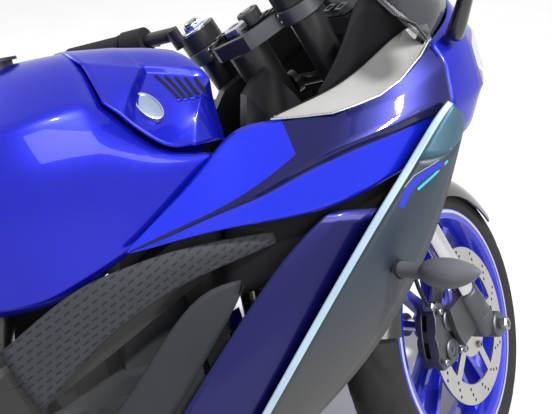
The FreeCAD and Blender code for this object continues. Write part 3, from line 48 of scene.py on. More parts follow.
MM = 0.001
RAKE = math.radians(25)
STEER_STOP = math.radians(32)
STEER_FOOT = Vector((785, 0, 0))
REAR_AXLE = Vector((-690, 0, 314))
FORK_OFFSET = 30
AXLE_AHEAD = 37.7
AXLE_UP = 305.7
FORK_Y = 97
FRONT_TYRE = {"radius": 293, "width": 110, "rim": 92}
REAR_TYRE = {"radius": 314, "width": 140, "rim": 118}
BEAD = 216
FORK_TOP = 1030
BAR_UP = 1040
BAR_BACK = 20
CLAMP_TOP = 990
CLAMP_LOW = 806
CALIPER_Y = -89
CHAIN_Y = 88
LINK_PITCH = 15.875
WALL = 3
CREASE = 0.9

STEER_UP = Vector((-math.sin(RAKE), 0, math.cos(RAKE)))
STEER_AHEAD = Vector((math.cos(RAKE), 0, math.sin(RAKE)))


def on_axis(up, ahead=0, y=0):
    """A point up the steering axis, moved ahead of it and sideways."""
    return STEER_FOOT + STEER_UP * up + STEER_AHEAD * ahead + Vector((0, y, 0))


FRONT_AXLE = on_axis(AXLE_UP, AXLE_AHEAD)


def turns(count):
    """Angles evenly round a circle."""
    return [2 * math.pi * k / count for k in range(count)]


def spoke(side, other, angle, reach):
    """A step of length reach at an angle between two directions."""
    return (side * math.cos(angle) + other * math.sin(angle)) * reach


def beside(centre, radius, angle, y=0.0):
    """A point round a wheel's centre; angle counts degrees up from straight behind it."""
    a = math.radians(180 - angle)
    return Vector((centre.x + math.cos(a) * radius, y, centre.z + math.sin(a) * radius))


def arcs(corners, reach, steps=4):
    """An outline of (y, z) points round four corners, a quarter turn at each."""
    points = []
    for quarter, (y, z) in enumerate(corners):
        for step in range(steps + 1):
            a = math.radians(90 * quarter + step * 90 / steps)
            points.append((y + reach * math.cos(a), z + reach * math.sin(a)))
    return points


def rounded(half, low, high, corner):
    """A rectangle's outline of (y, z) points, with round corners."""
    y, z0, z1 = half - corner, low + corner, high - corner
    return arcs([(y, z1), (-y, z1), (-y, z0), (y, z0)], corner)


def whole(row):
    """A right half row that ends on the middle, carried on to the left side."""
    return row + [(x, -y, z) for x, y, z in reversed(row[:-1])]


def parked():
    """The matrix that stands the upright bike, in millimetres, in the frame."""
    joints = {joint["name"]: joint for joint in frame["joints"]}
    across = Vector(joints["rear_wheel_spin"]["axis"])
    up = -Vector(joints["steering"]["axis"])
    up = (up - across * up.dot(across)).normalized()
    ahead = across.cross(up)
    forward = ahead * math.cos(RAKE) - up * math.sin(RAKE)
    upright = ahead * math.sin(RAKE) + up * math.cos(RAKE)
    turn = Matrix((forward, across, upright)).transposed().to_4x4() @ Matrix.Scale(MM, 4)
    return Matrix.Translation(Vector(joints["rear_wheel_spin"]["pos_m"]) - turn @ REAR_AXLE) @ turn


PARKED = parked()
TO_STOP = (Matrix.Translation(STEER_FOOT) @ Matrix.Rotation(STEER_STOP, 4, STEER_UP)
           @ Matrix.Translation(-STEER_FOOT))
PLACES = {"chassis": PARKED, "rear_wheel": PARKED, "side_stand": PARKED,
          "steering": PARKED @ TO_STOP, "front_wheel": PARKED @ TO_STOP}


# Shader expressions

class Value:
    """A node's output that Python's operators work on."""

    def __init__(self, net, socket):
        self.net = net
        self.socket = socket

    def maths(self, operation, *values):
        inputs = {place: value for place, value in enumerate(values)}
        return self.net.node("Math", {"operation": operation}, inputs)

    def __add__(self, other):
        return self.maths("ADD", self, other)

    def __sub__(self, other):
        return self.maths("SUBTRACT", self, other)

    def __rsub__(self, other):
        return self.maths("SUBTRACT", other, self)

    def __mul__(self, other):
        return self.maths("MULTIPLY", self, other)

    def __gt__(self, other):
        return self.maths("GREATER_THAN", self, other)

    def __lt__(self, other):
        return self.maths("LESS_THAN", self, other)

    def __mod__(self, other):
        return self.maths("FLOORED_MODULO", self, other)

    def __pow__(self, other):
        return self.maths("POWER", self, other)

    __radd__ = __add__
    __rmul__ = __mul__


class Net:
    """A node tree, with the nodes that the finishes and the room use."""

    def __init__(self, tree):
        self.tree = tree
        self.place = self.node("TexCoord", output="Object")

    def node(self, kind, settings=None, inputs=None, output=0):
        made = self.tree.nodes.new("ShaderNode" + kind)
        for name, value in (settings or {}).items():
            setattr(made, name, value)
        for name, value in (inputs or {}).items():
            self.feed(made.inputs[name], value)
        return Value(self, made.outputs[output])

    def feed(self, socket, value):
        if isinstance(value, Value):
            self.tree.links.new(value.socket, socket)
        else:
            socket.default_value = value

    def noise(self, scale, detail=2.0, rough=0.5):
        inputs = {"Vector": self.place, "Scale": scale, "Detail": detail, "Roughness": rough}
        return self.node("TexNoise", None, inputs)

    def cells(self, scale):
        """A random grey for each small cell, as in flakes and grains."""
        spots = self.node("TexVoronoi", None, {"Vector": self.place, "Scale": scale}, "Color")
        return self.node("SeparateColor", None, {"Color": spots})

    def mix(self, share, low, high):
        """Two colours mixed by a share."""
        low, high = [v if isinstance(v, Value) else (*v, 1) for v in (low, high)]
        return self.node("Mix", {"data_type": "RGBA"}, {0: share, 6: low, 7: high}, 2)

    def along(self, axis):
        """The place on the object along X, Y or Z, in metres."""
        return self.node("SeparateXYZ", None, {0: self.place}, axis)

    def plain_view(self):
        """One for camera, glossy and transmission rays, nought for light on the bike."""
        camera, glossy, through = [self.node("LightPath", output="Is %s Ray" % kind)
                                   for kind in ("Camera", "Glossy", "Transmission")]
        return camera + glossy + through

    def bump(self, height, depth, strength=1.0):
        """The surface pushed out by a height; depth is in metres."""
        inputs = {"Height": height, "Distance": depth, "Strength": strength}
        return self.node("Bump", None, inputs)


class Finish(Net):
    """A material made of nodes; its base shader's sockets are set by name."""

    def __init__(self, name):
        self.material = bpy.data.materials.new(name)
        self.material.use_nodes = True
        super().__init__(self.material.node_tree)
        self.shader = self.tree.nodes["Principled BSDF"]

    def set(self, **sockets):
        """Sets the shader's sockets; an underscore in a name stands for a space."""
        for name, value in sockets.items():
            socket = self.shader.inputs[name.replace("_", " ")]
            if isinstance(value, tuple):
                value = (*value, 1)
            self.feed(socket, value)
        return self.material


def lacquer(name, deep, bright, metal=0.7, rough=0.3, coat=0.4):
    """Metallic paint: fine flakes under a clear coat with a faint orange peel."""
    f = Finish(name)
    flakes = f.cells(2600)
    cloud = f.noise(6, 3)
    colour = f.mix(flakes * 0.55 + cloud * 0.45, deep, bright)
    peel = f.bump(f.noise(260, 1), 0.0001, 0.12)
    return f.set(Base_Color=colour, Metallic=metal, Roughness=flakes * 0.12 + rough,
                 Coat_Weight=coat, Coat_Roughness=0.03, Normal=peel)


def gloss(name, colour, rough=0.12):
    """Gloss plastic or enamel with fine dust."""
    f = Finish(name)
    dust = f.noise(40, 6, 0.7)
    lighter = tuple(min(1, c * 1.5 + 0.006) for c in colour)
    return f.set(Base_Color=f.mix(dust ** 3, colour, lighter), Roughness=dust * 0.1 + rough,
                 Coat_Weight=0.6, Coat_Roughness=0.05)


def grained(name, colour, grain=900, depth=0.0002, rough=0.62, metal=0.0):
    """Matt moulded plastic: a fine leather grain, a little paler where it wears."""
    f = Finish(name)
    cells = f.node("TexVoronoi", {"feature": "DISTANCE_TO_EDGE"},
                   {"Vector": f.place, "Scale": grain}, "Distance")
    cloud = f.noise(14, 5, 0.6)
    paler = tuple(c * 1.45 + 0.004 for c in colour)
    return f.set(Base_Color=f.mix(cloud, colour, paler), Metallic=metal,
                 Specular_IOR_Level=0.13, Roughness=cloud * 0.16 + rough - 0.08,
                 Normal=f.bump(cells, depth, 0.5))


def metal(name, colour, rough=0.35, cast=0.0, scratch=0.4):
    """Bare or cast metal; cast is the depth of its sand texture in metres."""
    f = Finish(name)
    cloud = f.noise(30, 6, 0.65)
    fine = f.noise(700, 2)
    darker = tuple(c * 0.72 for c in colour)
    height = fine if cast else f.noise(300, 3)
    return f.set(Base_Color=f.mix(cloud, darker, colour), Metallic=1.0,
                 Roughness=cloud * 0.25 * scratch + fine * 0.1 + rough - 0.08,
                 Normal=f.bump(height, cast or 0.00003, 0.5))


def enamel(name, colour, rough=0.38):
    """Satin paint on a frame or casting."""
    f = Finish(name)
    cloud = f.noise(22, 5, 0.6)
    paler = tuple(c * 1.35 + 0.003 for c in colour)
    return f.set(Base_Color=f.mix(cloud, colour, paler), Roughness=cloud * 0.2 + rough - 0.1,
                 Specular_IOR_Level=0.3,
                 Normal=f.bump(f.noise(500, 2), 0.00008, 0.4), Coat_Weight=0.15)


def film(name, low, high):
    """Satin film over the wing, warm grey at the foot and slate towards the top."""
    f = Finish(name)
    rise = (f.along("Z") - 0.42) * (1 / 0.24)
    grain = f.noise(1400, 2)
    return f.set(Base_Color=f.mix(rise, low, high), Roughness=f.noise(18, 5, 0.6) * 0.1 + 0.37,
                 Specular_IOR_Level=0.5, Normal=f.bump(grain, 0.00006, 0.5))


def tyre_rubber(name):
    """Dull black rubber, greyer in patches."""
    f = Finish(name)
    cloud = f.noise(18, 6, 0.7)
    return f.set(Base_Color=f.mix(cloud, (0.008, 0.008, 0.009), (0.028, 0.027, 0.025)),
                 Specular_IOR_Level=0.2,
                 Roughness=cloud * 0.2 + 0.62, Normal=f.bump(f.noise(900, 2), 0.0001, 0.5))


def seat_vinyl(name):
    """Grained vinyl."""
    f = Finish(name)
    cells = f.node("TexVoronoi", {"feature": "DISTANCE_TO_EDGE"},
                   {"Vector": f.place, "Scale": 420}, "Distance")
    cloud = f.noise(9, 4)
    return f.set(Base_Color=f.mix(cloud, (0.012, 0.012, 0.013), (0.03, 0.03, 0.031)),
                 Roughness=cloud * 0.15 + 0.5, Normal=f.bump(cells, 0.0005, 0.7))


def clear(name, colour, rough=0.02, alpha=0.3):
    """A clear moulding, tinted by its colour, with a faint haze of dust."""
    f = Finish(name)
    dust = f.noise(30, 6, 0.7)
    return f.set(Base_Color=colour, Roughness=dust * 0.06 + rough,
                 Alpha=dust * 0.1 + alpha, Coat_Weight=1.0, Coat_Roughness=0.02)


def dimpled(name, colour):
    """Matt plastic with rows of short dashes pressed into it, darkened in the dashes as painted
    shade.
    """
    f = Finish(name)
    x, z = f.along("X"), f.along("Z")
    slope = math.radians(24)
    along = (x * math.cos(slope) + z * math.sin(slope)) * (1 / 0.0135)
    across = (z * math.cos(slope) - x * math.sin(slope)) * (1 / 0.0085)
    odd = (across % 2.0) > 1.0
    in_row = ((across % 1.0) > 0.36) * ((across % 1.0) < 0.64)
    in_dash = ((along + odd * 0.5) % 1.0) < 0.62
    pressed = in_row * in_dash
    cloud = f.noise(16, 5, 0.6)
    grain = f.noise(1500, 2)
    # The dashes are darkened to under half the colour, as painted shade in the dents.
    return f.set(Base_Color=f.mix(pressed, f.mix(cloud, colour, tuple(c * 1.3 for c in colour)),
                                  tuple(c * 0.45 for c in colour)),
                 Roughness=cloud * 0.1 + 0.55, Specular_IOR_Level=0.25,
                 Normal=f.bump(grain * 0.25 - pressed, 0.0009, 0.7))


CANDY_DEEP, CANDY_BRIGHT = (0.002, 0.003, 0.24), (0.005, 0.012, 0.62)
finishes = {
    "candy": lacquer("candy_blue", CANDY_DEEP, CANDY_BRIGHT),
    # A darker and a lighter copy of the candy paint, as painted shade and painted light.
    "candy_painted_shade": lacquer("candy_blue_shade", (0.001, 0.0015, 0.04), (0.003, 0.004, 0.13)),
    "candy_lit": lacquer("candy_blue_lit", (0.004, 0.01, 0.42), (0.008, 0.03, 0.95)),
    "axle_chrome": metal("slider_chrome", (0.62, 0.62, 0.64), 0.14, 0, 0.3),
    "wheel_blue": lacquer("wheel_blue", (0.006, 0.008, 0.36), (0.02, 0.03, 0.62), 0.5, 0.32, 0.8),
    "slate": film("slate_film", (0.05, 0.046, 0.042), (0.014, 0.026, 0.042)),
    # A paler copy of the slate for the wing's folded top: painted light.
    "slate_lit": grained("slate_fold_painted_light", (0.05, 0.1, 0.135), 1400, 0.00006, 0.42, 0.5),
    "slate_edge": grained("slate_bevel", (0.32, 0.42, 0.5), 1400, 0.00005, 0.4, 0.3),
    # Pale grey for the cockpit lining, lighter than its dark moulding: painted light.
    "cockpit_painted_light": grained("cockpit_moulding_painted_light", (0.3, 0.295, 0.28), 1300, 0.00012, 0.6),
    "charcoal": grained("charcoal_moulding", (0.018, 0.019, 0.021)),
    "cover_grey": dimpled("dimpled_moulding", (0.024, 0.026, 0.031)),
    "side_grey": grained("side_moulding", (0.02, 0.022, 0.026), 1100, 0.00022, 0.58),
    "black_gloss": gloss("black_gloss", (0.006, 0.006, 0.007)),
    # Near-black: the real colour of panel insides and edges, and painted shade for slots and dark
    # sheets inside the fairing.
    "black_and_shade": grained("black_and_shade", (0.006, 0.006, 0.007), 500, 0.0001, 0.7),
    "frame_black": enamel("frame_black", (0.012, 0.012, 0.013)),
    "casting": metal("dark_casting", (0.11, 0.115, 0.125), 0.45, 0.0002),
    # Bright metal for machined parts, and a painted highlight on the cheek's black lip.
    "machined_and_highlight": metal("bright_edge_and_highlight", (0.62, 0.63, 0.65), 0.25),
    "anodised": metal("anodised_cap", (0.45, 0.55, 0.75), 0.22),
    "disc_steel": metal("disc_steel", (0.5, 0.49, 0.47), 0.28, 0, 0.6),
    "bolt_steel": metal("bolt_steel", (0.35, 0.35, 0.36), 0.3),
    "chain_steel": metal("chain_steel", (0.3, 0.27, 0.2), 0.35),
    "exhaust_steel": metal("exhaust_steel", (0.33, 0.29, 0.25), 0.3),
    "engine_paint": enamel("engine_paint", (0.035, 0.036, 0.038), 0.5),
    "arm_paint": enamel("arm_paint", (0.03, 0.03, 0.032), 0.36),
    "rubber": grained("moulded_rubber", (0.014, 0.014, 0.015), 700, 0.0002, 0.72),
    "tyre": tyre_rubber("tyre_rubber"),
    "seat": seat_vinyl("seat_vinyl"),
    "winker_grey": grained("winker_grey", (0.3, 0.31, 0.32), 1200, 0.00005, 0.5),
    "pod_grey": grained("pod_grey", (0.1, 0.105, 0.108), 1200, 0.00005, 0.42),
    "smoke": clear("smoked_screen", (0.03, 0.035, 0.045), 0.02, 0.5),
    "lens": clear("clear_lens", (0.75, 0.8, 0.85), 0.03, 0.25),
    "red_lens": gloss("red_lens", (0.35, 0.004, 0.006), 0.08),
    "amber_lens": gloss("amber_lens", (0.5, 0.14, 0.01), 0.1),
    "mirror_glass": metal("mirror_glass", (0.85, 0.87, 0.88), 0.03),
    "display": gloss("display_glass", (0.01, 0.012, 0.016), 0.04),
    "stripe_blue": lacquer("stripe_blue", (0.004, 0.01, 0.35), (0.01, 0.03, 0.6), 0.3, 0.35, 0.5),
    "stripe_cyan": gloss("stripe_cyan", (0.02, 0.45, 0.6), 0.3),
    "plate_white": gloss("plate_white", (0.75, 0.75, 0.73), 0.4),
    "cooler": metal("cooler_core", (0.06, 0.06, 0.062), 0.5, 0.0003),
}


# Meshes

class Form:
    """Points and faces of one piece, in the upright bike's millimetres."""

    def __init__(self):
        self.points = []
        self.faces = []
        self.creases = {}
        self.marks = []

    def add(self, points, faces, mark=0):
        base = len(self.points)
        self.points += [Vector(p) for p in points]
        self.faces += [tuple(base + i for i in face) for face in faces]
        self.marks += [mark] * len(faces)
        return base

    def grid(self, rows, closed=False, sharp_rows=(), sharp_columns=(), mark=0, skip=()):
        """Quads over rows of points, less those to skip; sharp rows and columns are creased."""
        wide = len(rows[0])
        points = [p for row in rows for p in row]
        across = wide if closed else wide - 1
        faces = [(i * wide + j, i * wide + (j + 1) % wide, (i + 1) * wide + (j + 1) % wide,
                  (i + 1) * wide + j) for i in range(len(rows) - 1) for j in range(across)
                 if (i, j) not in skip]
        base = self.add(points, faces, mark)
        for i in sharp_rows:
            for j in range(across):
                self.crease(base + i * wide + j, base + i * wide + (j + 1) % wide)
        for j in sharp_columns:
            for i in range(len(rows) - 1):
                self.crease(base + i * wide + j, base + (i + 1) * wide + j)
        return self

    def crease(self, a, b):
        self.creases[frozenset((a, b))] = CREASE

    def tube(self, points, radius, sides=16, mark=0):
        """A round bar through points; radius may be a list, one for each point."""
        points = [Vector(p) for p in points]
        radii = radius if isinstance(radius, (list, tuple)) else [radius] * len(points)
        rows = []
        side = None
        for i, (point, reach) in enumerate(zip(points, radii)):
            way = (points[min(i + 1, len(points) - 1)] - points[max(i - 1, 0)]).normalized()
            if side is None:
                side = way.orthogonal().normalized()
            side = (side - way * side.dot(way)).normalized()
            other = way.cross(side)
            rows.append([point + spoke(side, other, a, reach) for a in turns(sides)])
        base = len(self.points)
        self.grid(rows, closed=True, mark=mark)
        last = base + (len(rows) - 1) * sides
        self.faces += [tuple(reversed(range(base, base + sides))),
                       tuple(range(last, last + sides))]
        self.marks += [mark, mark]
        return self

    def turned(self, centre, axis, profile, steps=48, mark=0):
        """A profile of (radius, along) points turned about an axis; closed if it meets."""
        axis = Vector(axis).normalized()
        side = axis.orthogonal().normalized()
        other = axis.cross(side)
        rows = [[Vector(centre) + axis * along + spoke(side, other, a, reach)
                 for a in turns(steps)] for reach, along in profile]
        return self.grid(rows, closed=True, mark=mark)

    def ends(self, rows):
        """Closes the first and the last row of a grid."""
        count = range(len(rows[0]))
        self.add(rows[0], [tuple(count)])
        self.add(rows[-1], [tuple(reversed(count))])

    def plate(self, outline, y0, y1, mark=0):
        """A side-view outline of (x, z) points, y0 to y1 thick."""
        count = len(outline)
        points = [(x, y0, z) for x, z in outline] + [(x, y1, z) for x, z in outline]
        faces = [tuple(range(count)), tuple(reversed(range(count, 2 * count)))]
        faces += [(i, i + count, (i + 1) % count + count, (i + 1) % count) for i in range(count)]
        self.add(points, faces, mark)
        return self

    def mirrored(self):
        """The same form on the bike's other side."""
        twin = Form()
        twin.points = [Vector((p.x, -p.y, p.z)) for p in self.points]
        twin.faces = [tuple(reversed(face)) for face in self.faces]
        twin.creases = dict(self.creases)
        twin.marks = list(self.marks)
        return twin


def face_out(form):
    """Turns a panel's faces outward, so that its wall grows inward."""
    total = 0
    for face in form.faces:
        corners = [form.points[i] for i in face]
        middle = sum(corners, Vector()) / len(corners)
        normal = (corners[1] - corners[0]).cross(corners[2] - corners[0])
        total += normal.dot(Vector((0, middle.y, middle.z - 560)))
    if total < 0:
        form.faces = [tuple(reversed(face)) for face in form.faces]


def piece(name, form, finish, body="chassis", replaces=(), slot=None, wall=0, levels=0,
          bevel=0, angle=40, padded=None):
    """Puts a form on the bike as one named object; an opaque wall is black inside."""
    if wall:
        face_out(form)
    mesh = bpy.data.meshes.new(name)
    place = PLACES[body]
    mesh.from_pydata([place @ p for p in form.points], [], form.faces)
    mesh.validate()
    kinds = list(finish) if isinstance(finish, (list, tuple)) else [finish]
    inside = len(kinds) if wall and finish != "smoke" else 0
    kinds += ["black_and_shade"] * inside
    for kind in kinds:
        mesh.materials.append(finishes[kind])
    for polygon, mark in zip(mesh.polygons, form.marks):
        polygon.material_index = mark
        polygon.use_smooth = True
    if form.creases:
        layer = mesh.attributes.new("crease_edge", "FLOAT", "EDGE")
        for edge in mesh.edges:
            layer.data[edge.index].value = form.creases.get(frozenset(edge.vertices), 0.0)
    made = bpy.data.objects.new(name, mesh)
    bpy.context.scene.collection.objects.link(made)
    if not wall:
        work = bmesh.new()
        work.from_mesh(mesh)
        bmesh.ops.recalc_face_normals(work, faces=work.faces)
        work.to_mesh(mesh)
        work.free()
    if levels:
        rounder = made.modifiers.new("rounding", "SUBSURF")
        rounder.levels = rounder.render_levels = levels
        rounder.boundary_smooth = "PRESERVE_CORNERS"
    if wall:
        shell = made.modifiers.new("wall", "SOLIDIFY")
        shell.thickness = wall * MM
        shell.offset = -1
        shell.use_even_offset = False
        shell.material_offset = inside
    if bevel:
        edge = made.modifiers.new("edges", "BEVEL")
        edge.width = bevel * MM
        edge.segments = 2
        edge.limit_method = "ANGLE"
        edge.angle_limit = math.radians(38)
    if wall or bevel or not levels:
        mesh.set_sharp_from_angle(angle=math.radians(angle))
    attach(made, body)
    if replaces:
        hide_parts(*replaces)
    return made


def both(name, form, finish, **options):
    """A right-hand form and its twin, as two objects on the chassis; gives the right one."""
    right = piece(name + "_right", form, finish, **options)
    piece(name + "_left", form.mirrored(), finish, **options)
    return right


def right_side(rows):
    """Rows written with y as the distance from the middle, put on the right side."""
    return [[(x, -y, z) for x, y, z in row] for row in rows]


def panel(name, rows, finish, slot, replaces=(), wall=WALL, levels=2):
    """A moulded panel on both sides, from the right one's rows, with crisp edges."""
    form = Form().grid(right_side(rows), sharp_rows=(0, len(rows) - 1),
                       sharp_columns=(0, len(rows[0]) - 1))
    both(name, form, finish, replaces=replaces, slot=slot, wall=wall, levels=levels)


DRESSED = {
    "frame_black": "main_frame head_tube frame_crossbars seat_subframe fairing_stay fork_tubes "
                   "side_stand footrests foot_controls handlebars",
    "casting": "rear_caliper fuel_cap",
    "disc_steel": "front_disc rear_disc",
    "bolt_steel": "rear_sprocket front_axle rear_axle",
    "exhaust_steel": "exhaust",
    "engine_paint": "engine",
    "arm_paint": "swingarm",
    "cooler": "radiator",
    "candy": "belly_pan tail_cowl",
    "charcoal": "rear_mudguard instrument_panel",
    "lens": "headlamps",
    "red_lens": "tail_lamp",
    "black_gloss": "front_mudguard",
    "rubber": "hand_controls",
}


def dress(names, finish):
    """Gives CAD nodes their finish."""
    for name in names.split():
        node = frame["nodes"][name]
        node.data.materials.clear()
        node.data.materials.append(finishes[finish])
        for polygon in node.data.polygons:
            polygon.use_smooth = True
        node.data.set_sharp_from_angle(angle=math.radians(30))


for kind, nodes in DRESSED.items():
    dress(nodes, kind)


# Wheels

GROOVE = 4.5


def tyre_form(centre, size):
    """The tyre's carcass with slanting tread grooves pressed into the crown."""
    crown = size["width"] / 2
    middle = size["radius"] - crown
    steps = 220
    half = [(BEAD + 1, size["rim"] / 2 - 8), (BEAD + 15, size["rim"] / 2 + 1)]
    angles = [math.radians(a) for a in (74, 62, 50, 40, 31, 22, 13, 5)]
    half += [(middle + crown * math.cos(a), crown * math.sin(a)) for a in angles]
    profile = half + [(r, -y) for r, y in reversed(half)]
    form = Form().turned(centre, (0, 1, 0), profile, steps)
    count = len(profile)
    for ring in range(3, count - 3):
        side = 1 if ring < count / 2 else -1
        depth_in = min(ring, count - 1 - ring)
        for step in range(steps):
            slant = (step + side * depth_in * 2) % 22
            long_groove = slant in (0, 1) and 4 <= depth_in <= 8
            short_groove = slant in (11, 12) and 3 <= depth_in <= 6
            if long_groove or short_groove:
                index = ring * steps + step
                point = form.points[index]
                out = Vector((point.x - centre[0], 0, point.z - centre[2]))
                form.points[index] = point - out.normalized() * GROOVE
    return form


def rim_form(centre, width, hub_half):
    """A cast rim: barrel, hub and five pairs of spokes."""
    half = width / 2
    flange, well = BEAD + 12, BEAD - 16
    form = Form().turned(centre, (0, 1, 0), [
        (flange, half), (flange, half - 5), (BEAD + 1, half - 8), (BEAD - 2, half - 24),
        (well, half - 32), (well, 32 - half), (BEAD - 2, 24 - half), (BEAD + 1, 8 - half),
        (flange, 5 - half), (flange, -half), (flange - 5, -half - 0.5), (BEAD - 7, 1 - half),
        (well - 8, 30 - half), (well - 8, half - 30), (BEAD - 7, half - 1),
        (flange - 5, half + 0.5), (flange, half)], 96)
    form.turned(centre, (0, 1, 0), [
        (9, hub_half), (24, hub_half), (29, hub_half - 3), (30, hub_half - 10), (34, 18),
        (34, -18), (30, 10 - hub_half), (29, 3 - hub_half), (24, -hub_half), (9, -hub_half),
        (9, hub_half)], 48)
    stations = [(20, 15, 12, 21), (60, 12, 8, 18), (120, 9.5, 6, 16), (well - 14, 10, 7, 18),
                (well - 5, 14, 12, 22)]
    for step in range(5):
        for side in (-1, 1):
            rows = []
            for reach, wide, ridge, deep in stations:
                share = min(1, max(0, (reach - 20) / (well - 25)))
                angle = math.radians(72 * step + side * (16 - 6 * share ** 0.7))
                out = Vector((math.cos(angle), 0, math.sin(angle)))
                along = Vector((-math.sin(angle), 0, math.cos(angle)))
                mid = Vector(centre) + out * reach
                outline = [(-wide, 0), (-ridge, deep), (ridge, deep), (wide, 0), (ridge, -deep),
                           (-ridge, -deep)]
                rows.append([mid + along * a + Vector((0, b, 0)) for a, b in outline])
            form.grid(rows, closed=True)
    return form


def wheel(end, centre, size, hub_half):
    """A tyre with its tread, a cast rim and the thin tape on its flanges."""
    body = end + "_wheel"
    piece(end + "_tyre_tread", tyre_form(centre, size), "tyre", body,
          replaces=[end + "_tyre"], slot="tyre", angle=60)
    piece(end + "_rim_casting", rim_form(centre, size["rim"], hub_half), "wheel_blue", body,
          replaces=[end + "_rim"], slot="wheel_blue", bevel=1.2)
    tape = Form()
    for side in (-1, 1):
        edge = size["rim"] / 2 + 0.7
        tape.turned(centre, (0, side, 0), [(BEAD + 3, edge), (BEAD + 9, edge)], 120)
    piece(end + "_rim_tape", tape, "winker_grey", body, slot="winker_body")


wheel("front", FRONT_AXLE, FRONT_TYRE, 46)
wheel("rear", REAR_AXLE, REAR_TYRE, 66)


def bolts(name, body, places, way, radius, height, finish="bolt_steel"):
    """Hexagon sockets seated at places, all pointing the same way."""
    form = Form()
    way = Vector(way).normalized()
    for place in places:
        form.turned(place, way, [(0.01, -0.5), (radius, -0.5), (radius, height * 0.8),
                                 (radius * 0.8, height), (radius * 0.5, height),
                                 (radius * 0.5, height * 0.4), (0.01, height * 0.4)], 12)
    return piece(name, form, finish, body, slot="axle_steel")


def ring_places(x, z, radius, count, y):
    """Places evenly round a circle that faces sideways."""
    return [Vector((x + radius * math.cos(a), y, z + radius * math.sin(a)))
            for a in turns(count)]


def wheel_bolts(name, end, centre, radius, count, y, size, height):
    """A ring of bolts on the side of a wheel that y is on."""
    places = ring_places(centre.x, centre.z, radius, count, y)
    bolts(name, end, places, (0, math.copysign(1, y), 0), size, height)


wheel_bolts("front_disc_bolts", "front_wheel", FRONT_AXLE, 52, 5, -64.5, 7, 5)
wheel_bolts("rear_disc_bolts", "rear_wheel", REAR_AXLE, 46, 5, -86.5, 6, 5)
wheel_bolts("sprocket_bolts", "rear_wheel", REAR_AXLE, 40, 6, 91, 7, 6)


# Bodywork. Rows of the right side are (x, distance from the middle, z).

def tank():
    """The tank's painted shell, crowned on top, with a crease along its side."""
    # x: then y and z of the ridge, shoulder, crease, bulge, tuck and hem
    table = [
        (-168, (0, 798), (36, 794), (68, 774), (86, 740), (88, 705), (88, 666)),
        (-130, (0, 846), (42, 841), (92, 808), (110, 770), (106, 720), (100, 652)),
        (-90, (0, 880), (48, 874), (112, 832), (133, 792), (130, 730), (113, 641)),
        (-40, (0, 904), (55, 897), (134, 842), (151, 800), (146, 730), (128, 636)),
        (19, (0, 919), (60, 912), (151, 851), (164, 806), (158, 736), (146, 637)),
        (66, (0, 922), (57, 915), (146, 859), (163, 811), (158, 742), (146, 652)),
        (108, (0, 922), (52, 918), (134, 862), (158, 815), (154, 748), (146, 670)),
        (118, (0, 921), (50, 917), (131, 860), (156, 813), (153, 750), (146, 674)),
        (136, (0, 918), (48, 910), (127, 848), (152, 806), (150, 752), (146, 684)),
        (164, (0, 900), (47, 890), (122, 822), (146, 796), (147, 756), (144, 702)),
        (200, (0, 870), (46, 862), (116, 786), (140, 786), (143, 762), (138, 726)),
        (256, (0, 850), (44, 842), (100, 762), (126, 774), (130, 764), (130, 750))]
    rows = []
    for x, *half in table:
        rows.append(whole([(x, -y, z) for y, z in reversed(half)]))
    form = Form().grid(rows, sharp_columns=(3, 7))
    return piece("tank_shell", form, "candy", replaces=["fuel_tank"],
                 slot="tank_blue", wall=2, levels=3)


def cover():
    """The cover on the tank's front half: a raised strip along its top over a recess."""
    # Rows run forward from the seam; each goes from the ridge down the side, over the
    # strip's lower edge into the recess, to the lower seam.
    rows = [
        [(113, 0, 923), (114, 30, 921), (127, 62, 907), (129, 66, 904), (132, 86, 890),
         (135, 107, 873), (137, 124, 861)],
        [(180, 0, 917), (184, 28, 914), (196, 63, 892), (199, 68, 889), (188, 86, 878),
         (173, 105, 867), (154, 131, 841)],
        [(190, 0, 915), (194, 28, 912), (206, 62, 889), (208, 66, 884), (197, 85, 872),
         (182, 106, 859), (165, 134, 829)],
        [(218, 0, 911), (222, 27, 907), (235, 60, 883), (237, 65, 877), (224, 90, 859),
         (205, 115, 835), (190, 140, 801)],
        [(244, 0, 905), (250, 25, 900), (262, 56, 877), (264, 62, 870), (249, 90, 848),
         (229, 117, 815), (212, 137, 790)],
        [(258, 0, 901), (268, 24, 894), (280, 54, 871), (283, 64, 862), (268, 88, 846),
         (249, 105, 829), (231, 127, 787)],
        [(264, 0, 898), (276, 26, 888), (286, 54, 868), (288, 68, 858), (274, 86, 851),
         (254, 104, 831), (236, 127, 785)],
        [(278, 0, 872), (284, 26, 866), (288, 48, 852), (289, 62, 842), (286, 78, 834),
         (282, 94, 812), (270, 112, 782)],
        [(288, 0, 820), (288, 24, 816), (289, 40, 810), (289, 56, 804), (289, 70, 798),
         (288, 84, 790), (284, 98, 779)]]
    depths = {3: (0, 0, 6, 6, 6, 3), 4: (0, 0, 6, 6, 5, 2), 5: (0, 0, 5, 5, 4, 1),
              6: (0, 0, 2, 2, 2, 0)}
    for column, depth in depths.items():
        for row, sunk in enumerate(depth):
            x, y, z = rows[row][column]
            rows[row][column] = (x - 0.26 * sunk, y - 0.67 * sunk, z - 0.70 * sunk)
    form = Form().grid(right_side(rows), sharp_rows=(0, 1, 2, 6), sharp_columns=(2, 3, 6))
    return both("cover", form, "candy", replaces=["tank_cover"],
                slot="panel_blue", wall=WALL, levels=3)


LIFT = 0.5


def laid(surface, start, way, lift=LIFT):
    """Where a line meets a surface, stood off it by lift."""
    way = Vector(way).normalized()
    place = surface.ray_cast(Vector(start) - way * 60, way, 150)[0]
    return (place if place else Vector(start)) - way * lift


